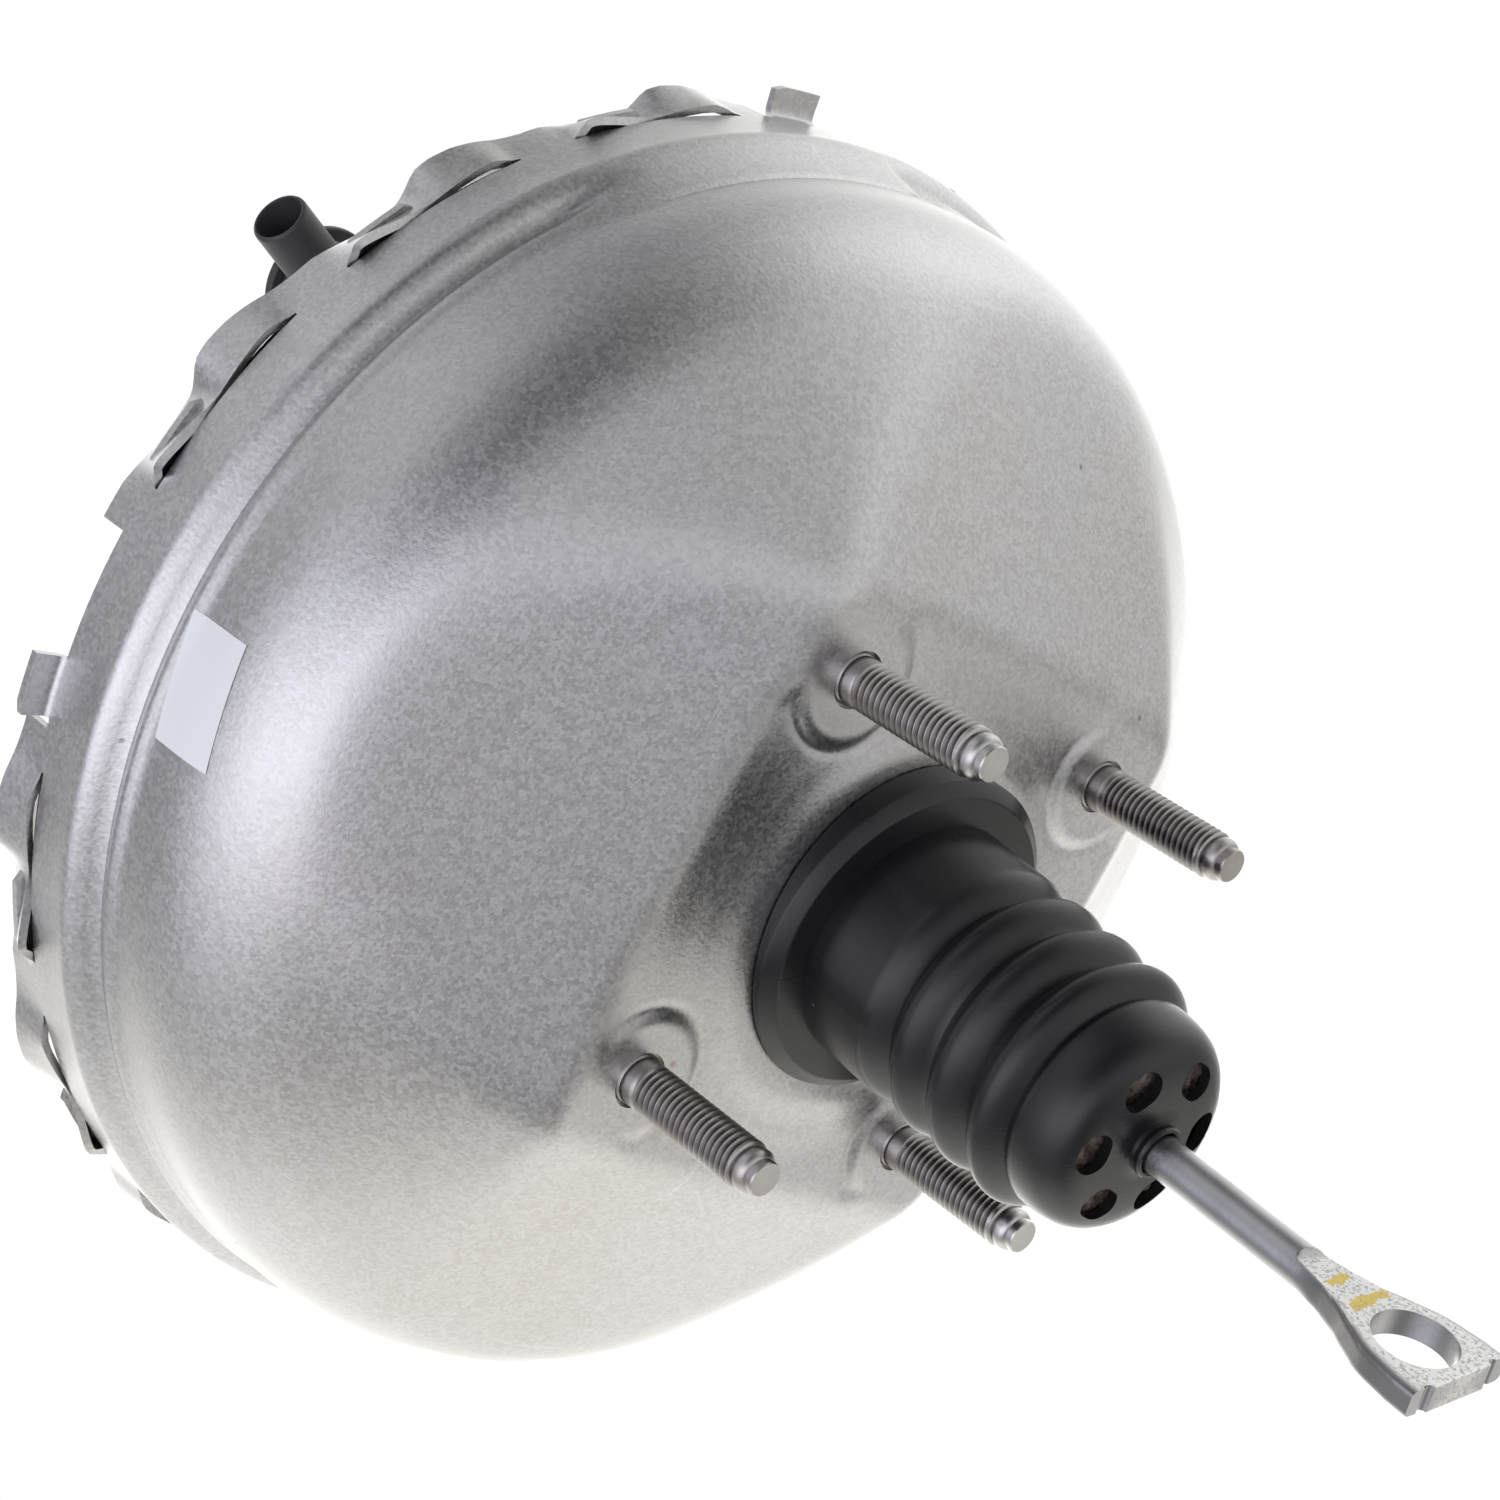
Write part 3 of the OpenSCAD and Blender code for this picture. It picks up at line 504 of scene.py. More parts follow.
def boot_rubber():
    """Moulded rubber: near black, softly shining, with a mould line and dust."""
    f = Finish("boot rubber", Metallic=0.0, IOR=1.52)
    t = f.tree
    grain = f.group(GRAIN, Fine=1100.0, Cloud=26.0)
    dust = f.group(SPECKS, Scale=210.0, Size=0.09, Amount=0.05)["Mask"]
    line = f.mark("mould_line")
    base = tinted(t, grain["Cloud"], (0.007, 0.0075, 0.0084), (0.014, 0.0147, 0.016))
    base = f.over(base, dust, 0.5, (0.32, 0.31, 0.29))
    f.colour(tinted(t, line, base, (0.004, 0.004, 0.005)))
    f.roughness(grain["Cloud"], 0.25, 0.34)
    f.bump(arithmetic(t, "SUBTRACT", f.times(grain["Height"], 0.5), f.times(line, 0.4)), 0.00012, 0.5)
    return f.material


def moulded(name, dark, light, low=0.42, high=0.58, fine=900.0, bump=0.00008):
    """Moulded plastic or solid rubber."""
    f = Finish(name, Metallic=0.0, IOR=1.48)
    grain = f.group(GRAIN, Fine=fine, Cloud=45.0)
    lines = f.group(SCRATCHES, Scale=90.0)["Mask"]
    base = tinted(f.tree, grain["Cloud"], dark, light)
    worn = tuple(min(1, c * 3 + 0.05) for c in light)
    f.colour(f.over(base, lines, 0.3, worn))
    f.roughness(grain["Cloud"], low, high)
    f.bump(grain["Height"], bump, 0.5)
    return f.material


def felt_finish():
    f = Finish("silencer felt", Metallic=0.0, Roughness=0.95, IOR=1.4)
    t = f.tree
    threads = noise(t, f.at, 900.0, 5.0, 0.7, stretch=(1, 0.35, 1))
    patches = noise(t, f.at, 260.0, 3.0)
    base = tinted(t, mapped(t, threads, 0.35, 0.65), (0.035, 0.026, 0.02), (0.30, 0.23, 0.18))
    f.colour(tinted(t, mapped(t, patches, 0.45, 0.7), base, (0.36, 0.31, 0.27)))
    f.bump(threads, 0.0006, 1.0)
    return f.material


def paper_finish():
    f = Finish("blank label film", Metallic=0.0, IOR=1.46)
    grain = f.group(GRAIN, Fine=700.0, Cloud=60.0)
    f.colour(tinted(f.tree, grain["Cloud"], (0.96, 0.98, 0.98), (0.91, 0.94, 0.95)))
    f.roughness(grain["Cloud"], 0.30, 0.42)
    f.bump(grain["Height"], 0.00004, 0.4)
    return f.material


PLATED = plated_steel()
STUD_STEEL = bare_steel("stud steel", (0.60, 0.59, 0.58), (0.44, 0.42, 0.40), 0.28, 0.42, 0.25)
INNER_STEEL = bare_steel("inner steel", (0.52, 0.52, 0.53), (0.40, 0.40, 0.41), 0.30, 0.48, 0.15)
DARK_STEEL = bare_steel("dark steel", (0.24, 0.235, 0.23), (0.15, 0.145, 0.14), 0.35, 0.5, 0.3)
SPRING_STEEL = bare_steel("spring steel", (0.42, 0.40, 0.37), (0.30, 0.28, 0.26), 0.26, 0.4, 0.2)
RUBBER = boot_rubber()
SEAL_RUBBER = moulded("seal rubber", (0.016, 0.016, 0.017), (0.035, 0.035, 0.036))
DARK_PLASTIC = moulded("dark plastic", (0.035, 0.036, 0.038), (0.062, 0.062, 0.063), 0.36, 0.55)
BEARING_PLASTIC = moulded("bearing plastic", (0.52, 0.47, 0.36), (0.62, 0.57, 0.46), 0.35, 0.5)
FELT = felt_finish()
LABEL_FILM = paper_finish()


# ---- Rear shell


def soft_max(a, b, k):
    h = np.maximum(k - np.abs(a - b), 0) / k
    return np.maximum(a, b) + h * h * k / 4


def shoulder_distance(r, z):
    """Distance outside the round shoulder, its straight flank above it and the wall below it."""
    dx, dz = r - SHOULDER_X, z - SHOULDER_Z
    flank = dx * math.cos(SHOULDER_TURN) + dz * math.sin(SHOULDER_TURN) - SHOULDER_R
    turn = np.arctan2(dz, dx)
    return np.where(turn > SHOULDER_TURN, flank, np.where(dz > 0, np.hypot(dx, dz) - SHOULDER_R, r - DRUM_R))


def top_relief(x, y):
    """Height of the flat top: raised stud pads that run out to the corners, and the raised round seat."""
    r = np.hypot(x, y)
    pads = np.zeros_like(r)
    crease = np.zeros_like(r)
    for sx, sy in CORNERS:
        dx, dy = x - sx * STUD_AT, y - sy * STUD_AT
        reach = np.hypot(dx, dy)
        away = (dx * sx + dy * sy) / math.sqrt(2)
        aside = np.abs(dx * sy - dy * sx) / math.sqrt(2)
        corner = rise(2, 8, away) * (1 - rise(15, 22, aside))
        pads = np.maximum(pads, np.maximum(1 - rise(11.0, 16.0, reach), corner))
        inner_side = rise(-0.35, 0.35, -away / np.maximum(reach, 1))
        groove = 0.34 * np.exp(-((reach - 14.9) / 0.95) ** 2)
        crease += (groove - 0.2 * np.exp(-((reach - 12.4) / 1.2) ** 2)) * inner_side
    trough = -0.95 + 0.6 * (1 - rise(43, 53, r))
    level = trough * (1 - pads) - crease * rise(41, 45, r)
    seat = 1 - rise(37.5, 45.5, r)
    return level * (1 - seat) + 0.8 * seat


def pressed_form(x, y, z):
    """Below 0 inside the drum: flat top, four facets and the shoulder, with rounded joins."""
    form = z - top_relief(x, y)
    for u in (x, -x, y, -y):
        facet = (u - FACET_REACH) * math.sin(FACET_SLOPE) + z * math.cos(FACET_SLOPE)
        form = soft_max(form, facet, 1.7)
    return soft_max(form, shoulder_distance(np.hypot(x, y), z), 2.4)


def along_ray(start, heading, near, far):
    """Where each ray leaves the form, found by halving."""
    low, high = np.full(len(start), float(near)), np.full(len(start), float(far))
    for _ in range(34):
        middle = (low + high) / 2
        p = start + heading * middle[:, None]
        inside = pressed_form(p[:, 0], p[:, 1], p[:, 2]) < 0
        low, high = np.where(inside, middle, low), np.where(inside, high, middle)
    return start + heading * low[:, None]


# Profiles of the wall: depth below the firewall face and radius
BEAD = ((60, 130.7), (66.5, 130.75), (68, 131.1), (69.2, 131.65), (70.2, 131.8), (71.2, 131.5),
        (72.2, 130.9), (73, 130.7), (74, 131.4), (75, 132.9), (76.5, 134.9), (78, 135.75), (79.5, 135.75),
        (82, 135.5), (120, 135.5))
SHELF = ((60, 130.7), (65.6, 130.7), (66.3, 131.3), (67, 131.5), (70, 132.6), (74, 134.3), (76, 135.2),
         (78, 135.75), (80, 135.6), (82, 135.5), (120, 135.5))
# Bulge of a lance against its length: at the slit and at the free edge
SLIT_BULGE = ((0, 0), (0.03, 0.15), (0.09, 1.2), (0.15, 1.85), (0.22, 1.8), (0.36, 1.1), (0.5, 0.3),
              (0.56, 0.5), (0.7, 1.5), (0.84, 2.7), (0.9, 3.05), (0.94, 2.6), (0.985, 0.15), (1, 0))
EDGE_BULGE = ((-0.14, 0), (-0.02, 0.7), (0.1, 2.2), (0.22, 3.2), (0.34, 3.4), (0.42, 2.9), (0.48, 1.2),
              (0.52, -0.6), (0.58, -1.7), (0.7, -2.1), (0.84, -1.9), (0.96, -0.8), (1.06, 0))


def wall_radius(angle, z):
    """Radius of the drum below the shoulder: wall, bead, skirt and the bulged lances."""
    bead = np.interp(-z, *zip(*BEAD))
    shelf = np.interp(-z, *zip(*SHELF))
    share = rise(97, 99.5, angle) * (1 - rise(127, 138, angle))
    r = bead * (1 - share) + shelf * share
    # A dent and a swelling beside the ends of the shelf
    high = np.exp(-((z + 69) / 3.5) ** 2)
    r = r - 0.9 * high * np.exp(-((angle - 95.5) / 1.6) ** 2)
    r = r + 0.5 * high * np.exp(-((angle - 82.5) / 2.2) ** 2)
    t = np.clip((SLIT_LOW - z) / (SLIT_LOW - FREE_EDGE), 0, 1)
    bulge = np.zeros_like(r)
    for a in LANCE_STARTS:
        along = ((angle - a + 40) % 360 - 40) / LANCE_SPAN
        inside = (along > 0) & (along < 1)
        share = np.where(inside, t, t ** 1.5)
        bulge += share * np.interp(along, *zip(*EDGE_BULGE), left=0, right=0)
        bulge += np.where(inside, (1 - t) * np.interp(along, *zip(*SLIT_BULGE)), 0)
    return r + bulge * (z < SLIT_LOW + 0.05)


def column_angles(marks, pitch, fine_pitch=None):
    """Angles round the drum, with a column on every mark and finer steps inside the lances."""
    marks = sorted({round(m % 360, 4) for m in marks})
    angles = []
    for a, b in zip(marks, marks[1:] + [marks[0] + 360]):
        in_lance = any(((a + b) / 2 - s) % 360 < LANCE_SPAN for s in LANCE_STARTS)
        n = max(1, round((b - a) / (fine_pitch if in_lance and fine_pitch else pitch)))
        angles += [a + (b - a) * k / n for k in range(n)]
    return np.array(angles + [marks[0] + 360])


def make_rear_shell():
    tabs = [g - 38.5 for g in GROUPS]
    notches = [(g - 52.0, g - 41.0) for g in GROUPS]
    marks = [a + d for a in LANCE_STARTS for d in (0, LANCE_SPAN)]
    marks += [a + d for a in tabs for d in (-TAB_HALF, TAB_HALF)] + [a for pair in notches for a in pair]
    angles = column_angles(marks, 0.95, 0.68)
    neck = [(18.46, -14.0), (24.86, -14.0), (25.36, -13.5), (25.36, -0.3), (25.5, 0.3), (25.9, 0.7)]
    flat = [26.4, 31, 35, 38, 39.4, 40.2, 40.9, 41.5, 42.1, 42.7, 43.3, 44.0, 45.0]
    flat += list(np.arange(46.1, 80.2, 1.12)) + [81.6, 83.3, 85.1, 87.0, 88.9, 90.8]
    bend = list(np.linspace(90, 6, 15))
    wall = [-60, -64, -65.6, -66.3, -67.2, -68.2, -69.2, -70.2, -71.2, -72.2, -73, -73.9, -75, -76.3,
            -77.3, -78.3, -79.5, -82, -86.5, SLIT_TOP, SLIT_LOW, NOTCH_TOP, -93.6, -95.3, -97, -98.5,
            FREE_EDGE]
    tab_rows = 4
    n_neck, n_flat, n_bend, n_wall = len(neck), len(flat), len(bend), len(wall)
    rows = n_neck + n_flat + n_bend + n_wall + tab_rows
    piece, column, row, corners = flat_grid("rear_shell_pressed", len(angles) - 1, rows - 1)

    way = outward(angles[column])
    co = np.zeros((len(row), 3))
    for k, (r, z) in enumerate(neck):
        m = row == k
        co[m] = way[m] * r + [0, 0, z]
    m = (row >= n_neck) & (row < n_neck + n_flat)
    start = way[m] * np.array(flat)[row[m] - n_neck][:, None] + [0, 0, SHOULDER_Z]
    co[m] = along_ray(start, np.array([0, 0, 1.0]) * np.ones((m.sum(), 1)), 0, 64)
    m = (row >= n_neck + n_flat) & (row < n_neck + n_flat + n_bend)
    lift = np.radians(np.array(bend)[row[m] - n_neck - n_flat])
    heading = way[m] * np.cos(lift)[:, None] + upward(np.sin(lift))
    co[m] = along_ray(way[m] * SHOULDER_X + [0, 0, SHOULDER_Z], heading, 5, 75)
    first_wall = n_neck + n_flat + n_bend
    m = row >= first_wall
    z = np.array(wall + [FREE_EDGE] * tab_rows)[row[m] - first_wall]
    co[m] = way[m] * wall_radius(angles[column[m]] % 360, z)[:, None] + upward(z)

    # The tabs: the sheet turns outward at the level of the notches
    first_bent = first_wall + wall.index(NOTCH_TOP)
    path = [(0, -92.1), (0.2, -92.75), (0.65, -93.25), (1.3, -93.45), (2.0, -93.5), (3.0, -93.5),
            (4.0, -93.5), (4.9, -93.5), (5.5, -93.5), (6.0, -93.5)]
    in_tab_column = np.zeros(len(angles), bool)
    edge_column = np.zeros(len(angles), bool)
    for g in tabs:
        off = (angles - g + 180) % 360 - 180
        in_tab_column |= np.abs(off) < TAB_HALF + 0.01
        edge_column |= np.abs(np.abs(off) - TAB_HALF) < 0.01
    for k, (out, z) in enumerate(path):
        m = (row == first_bent + k) & in_tab_column[column]
        trim = np.where(edge_column[column[m]], {8: 0.3, 9: 0.7}.get(k, 0.0), 0.0)
        co[m] = way[m] * (SKIRT_R + out - trim)[:, None] + [0, 0, z]
    set_points(piece, co)

    # What is cut away: slits, notches, rows beyond the free edge, reliefs beside the tabs, stud holes
    f_col, f_row = column[corners].min(1), row[corners].min(1)
    middle = (angles[f_col] + angles[f_col + 1]) / 2
    gone = np.zeros(len(corners), bool)
    slit_rows = (f_row >= first_wall + wall.index(SLIT_TOP)) & (f_row < first_wall + wall.index(SLIT_LOW))
    for s in LANCE_STARTS:
        gone |= slit_rows & (((middle - s) % 360) < LANCE_SPAN)
    for low, high in notches:
        gone |= (f_row >= first_bent) & (((middle - low) % 360) < high - low)
    tab_face = in_tab_column[f_col] & in_tab_column[f_col + 1]
    gone |= (f_row >= first_bent) & (in_tab_column[f_col] ^ in_tab_column[f_col + 1])
    gone |= (f_row >= first_wall + n_wall - 1) & ~tab_face
    for sx, sy in CORNERS:
        gone |= round_hole(co, corners, sx * STUD_AT, sy * STUD_AT, STUD_HOLE_R, -10, 10)
    set_points(piece, co)
    drop_faces(piece, gone)
    close_seams(piece)
    face_way(piece, -20, 10, 1)
    apply_modifier(piece, "SOLIDIFY", thickness=SHEET, offset=-1.0)
    settle(piece, "housing", "plated_shell", PLATED, "rear_shell", sharp=38)


# ---- Studs


def threaded_stud(name, length, root_z, radius=5.0, pitch=1.5, steps=40):
    """Stud with its head below z = 0: knurled root, plain shank, thread, groove, collar and flat end."""
    start, end = root_z + 2.6, root_z + length - 5.4
    tip = root_z + length
    below = [(0.4, 0), (7.5, 0), (8.0, 0.5), (8.0, 3.0), (radius + 0.4, 3.0),
             (radius + 0.4, root_z - 0.4), (radius, root_z), (radius, start)]
    above = [(radius, end), (4.75, end + 0.25), (4.2, end + 0.45), (4.2, end + 1.0), (4.55, end + 1.25),
             (4.6, tip - 2.9), (4.25, tip - 2.2), (3.75, tip - 1.75), (3.6, tip - 1.7), (3.6, tip - 0.3),
             (3.4, tip), (0.4, tip - 0.05)]
    turns = int((end - start) / pitch) + 2
    phases, radii = (0.07, 0.42, 0.56, 0.90), (4.14, radius, radius, 4.14)
    rows = turns * len(phases)
    thread, column, row, _ = flat_grid(name, steps, rows - 1)
    k, lap = row % len(phases), row // len(phases)
    a = 2 * math.pi * column / steps
    z = start + (lap - 1 + np.array(phases)[k] + column / steps) * pitch
    fade = rise(start + 0.1, start + 1.9, z) * (1 - rise(end - 0.9, end - 0.1, z))
    r = radius - (radius - np.array(radii)[k]) * fade
    z = np.clip(z, start, end)
    set_points(thread, np.c_[r * np.cos(a), r * np.sin(a), z])
    # Painted shade: the mark grows towards the roots of the thread
    mark_points(thread, "painted_shade_and_forged_side", (radius - r) / 0.86)
    parts = [thread]
    for half, outline in (("_root", below), ("_tip", above)):
        part = turned(name + half, outline, steps)
        co = points_of(part)
        reach = np.hypot(co[:, 0], co[:, 1])
        # Painted shade in the groove by the tip and, more faintly, on the head inside the shell hole
        grooved = (np.abs(co[:, 2] - (end + 0.7)) < 0.4) & (reach < 4.3)
        mark_points(part, "painted_shade_and_forged_side", np.where(grooved, 0.8, np.where(co[:, 2] < root_z + 0.5, 0.35, 0.0)))
        close_poles(part)
        parts.append(part)
    stud = joined(parts)
    close_seams(stud, 0.004)
    return stud


def make_studs():
    pattern = threaded_stud("stud_pattern", 36.8, STUD_ROOT)
    for k, (sx, sy) in enumerate(CORNERS):
        stud = copy_of(pattern, f"firewall_stud_{k + 1}")
        place = Matrix.Translation((sx * STUD_AT, sy * STUD_AT, -STUD_ROOT))
        place = place @ Matrix.Rotation(1.3 * k, 4, "Z")
        settle(stud, "housing", "bare_steel", STUD_STEEL, "firewall_studs", place=place, sharp=30)
    bpy.data.objects.remove(pattern)

    # The heads on the master cylinder's side are cut back for the front end of the return spring
    spring_room = 28.3
    pattern = threaded_stud("stud_pattern", 22.0, STUD_ROOT)
    co = points_of(pattern)
    in_spring = (co[:, 2] < 2.99) & (np.hypot(co[:, 0] + MASTER_STUD_AT, co[:, 1]) < spring_room)
    co[in_spring, 0] = spring_room - MASTER_STUD_AT
    set_points(pattern, co)
    for k, side in enumerate((-1, 1)):
        stud = copy_of(pattern, f"master_cylinder_stud_{k + 1}")
        place = Matrix.Translation((side * MASTER_STUD_AT, 0, MASTER_PAD_BACK))
        place = place @ Matrix.Scale(-1, 4, (0, 0, 1)) @ Matrix.Scale(side, 4, (1, 0, 0))
        place = place @ Matrix.Translation((0, 0, -3.0))
        settle(stud, "housing", "bare_steel", STUD_STEEL, "master_cylinder_studs", place=place, sharp=30)
        close_seams(stud, 0.000002)
    bpy.data.objects.remove(pattern)


# ---- Dust boot


def bellows_radius(z):
    """Outside radius of the boot from the tube to the cap, with broad ridges and narrow valleys."""
    # Ridges at 35.0, 46.4 and 58.0, with a valley before and after each
    marks = [(23.8, 26.46), (29.8, 22.35), (35.0, 26.6), (40.6, 22.25), (46.4, 26.5), (52.0, 22.15),
             (58.0, 26.4), (62.6, 22.05)]
    r = np.full_like(z, 26.46)
    for (z0, r0), (z1, r1) in zip(marks, marks[1:]):
        m = (z >= z0) & (z <= z1)
        t = (z[m] - z0) / (z1 - z0)
        share = (0.5 - 0.5 * np.cos(math.pi * t)) if r1 > r0 else (0.5 + 0.5 * np.cos(math.pi * t))
        low, high = min(r0, r1), max(r0, r1)
        r[m] = low + (high - low) * share ** 0.52
    return r


def mark_mould_line(piece):
    """Thin parting line in the plane through the boot's axis, with the columns beside it drawn close."""
    co = points_of(piece)
    a = np.arctan2(co[:, 1], co[:, 0])
    r = np.hypot(co[:, 0], co[:, 1])
    step = 2 * math.pi / BOOT_STEPS
    for side in (0, math.pi):
        off = (a - MOULD_LINE - side + math.pi) % (2 * math.pi) - math.pi
        near = (np.abs(off) > step * 0.5) & (np.abs(off) < step * 1.5)
        a[near] = MOULD_LINE + side + np.sign(off[near]) * 0.28 / np.maximum(r[near], 4)
    set_points(piece, np.c_[r * np.cos(a), r * np.sin(a), co[:, 2]])
    mark_points(piece, "mould_line", np.abs(r * np.sin(a - MOULD_LINE)) < 0.12)


def tilted(piece):
    """Leans the boot and shifts its base, as the photograph shows it. The seat below stays in place."""
    co = points_of(piece)
    c, s = math.cos(BOOT_TILT), math.sin(BOOT_TILT)
    off = np.clip((co[:, 2] + 1.3) / 2.5, 0, 1)
    set_points(piece, np.c_[co[:, 0] + 1.2 * off * (1 - co[:, 2] / 78),
                            co[:, 1] * c - co[:, 2] * s + 1.0 * off, co[:, 1] * s + co[:, 2] * c])


def boot_part(name, outline):
    """One part of the boot, spun with its mould line on a column of the mesh."""
    piece = turned(name, outline, BOOT_STEPS)
    co = points_of(piece)
    c, s = math.cos(MOULD_LINE), math.sin(MOULD_LINE)
    set_points(piece, np.c_[co[:, 0] * c - co[:, 1] * s, co[:, 0] * s + co[:, 1] * c, co[:, 2]])
    mark_mould_line(piece)
    return piece


def boot_walls(z):
    """Outside and inside of the folded wall at these heights."""
    outer = [(float(r), float(h)) for r, h in zip(bellows_radius(z), z)]
    return outer, [(r - BOOT_WALL, h) for r, h in reversed(outer[::2])]


def make_boot():
    outer, inner = boot_walls(np.concatenate(
        [[9.0, 14.0, 19.0, 22.0, 23.2], np.arange(23.9, BOOT_SPLIT - 0.3, 0.703), [BOOT_SPLIT]]))
    base = [(24.96, 1.2), (24.96, -1.3), (23.1, -1.3), (23.1, 6.6)]
    flange = softened([(24.96, 1.2), (35.2, 1.2), (35.2, 4.2), (32.4, 6.8), (26.46, 6.85)], 0.35, 3)
    outline = base[::-1] + flange[:-1] + [(26.46, 7.35)] + outer + inner + [base[-1]]
    bellows = boot_part("dust_boot_bellows", outline)
    tilted(bellows)
    # The flange rests flat on the seat
    co = points_of(bellows)
    flange = np.hypot(co[:, 0], co[:, 1]) > 27.0
    untilted = co[:, 2] * math.cos(BOOT_TILT) - co[:, 1] * math.sin(BOOT_TILT)
    co[flange & (np.abs(untilted - 1.2) < 0.5), 2] = FLANGE_FOOT
    co[flange, 2] = np.maximum(co[flange, 2], FLANGE_FOOT)
    r = np.hypot(co[:, 0], co[:, 1])
    under = (r > 27.0) & (co[:, 2] < 4.6) & (co[:, 2] < 1.2 + 3.3)
    low = (r > 27.0) & (np.abs(co[:, 2] * math.cos(BOOT_TILT) - co[:, 1] * math.sin(BOOT_TILT) - 1.2) < 0.5)
    co[low, 2] = 1.12
    co[under & (co[:, 2] < 1.12), 2] = 1.12
    set_points(bellows, co)
    settle(bellows, "housing", "black_rubber", RUBBER, "dust_boot", sharp=32)
    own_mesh(bellows)

    outer, under = boot_walls(np.concatenate([np.arange(BOOT_SPLIT, 62.3, 0.7), [62.6]]))
    crown = [(22.6, 63.3), (22.95, 64.3), (22.95, 66.0), (22.8, 68.0), (22.5, 70.0), (21.9, 72.0),
             (20.8, 73.8), (19.2, 75.3), (17.2, 76.3), (14.8, 76.9), (11.5, 77.3), (8.0, 77.45),
             (6.0, 77.5), (5.35, 77.8), (5.2, 78.6), (5.45, 79.0), (5.5, 79.8), (5.2, 80.3), (4.7, 80.4),
             (4.3, 80.0), (4.25, 75.6)]
    inner = [(8.0, 75.35), (14.6, 74.8), (16.5, 74.3), (18.2, 73.3), (19.4, 71.8), (20.2, 70.0),
             (20.66, 67.9), (20.75, 64.8), (20.5, 63.4)]
    cap = boot_part("dust_boot_cap", outer + crown + inner + under + [outer[0]])
    cutters = []
    for k in range(6):
        bpy.ops.object.select_all(action="DESELECT")
        bpy.ops.mesh.primitive_cylinder_add(vertices=40, radius=3.5, depth=9)
        cutter = start_with("vent_cutter")
        co = points_of(cutter)
        co[:, 1] += np.sign(np.round(co[:, 1], 4)) * 0.85
        turn = Matrix.Rotation(math.radians(20 + 60 * k), 4, "Z") @ Matrix.Translation((14.2, 0, 77))
        set_points(cutter, co)
        cutter.data.transform(turn)
        cutters.append(cutter)
    cut_with(cap, joined(cutters))
    tilted(cap)
    settle(cap, None, "black_rubber", RUBBER, "dust_boot", sharp=32)
    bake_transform(cap)


# ---- Pushrod


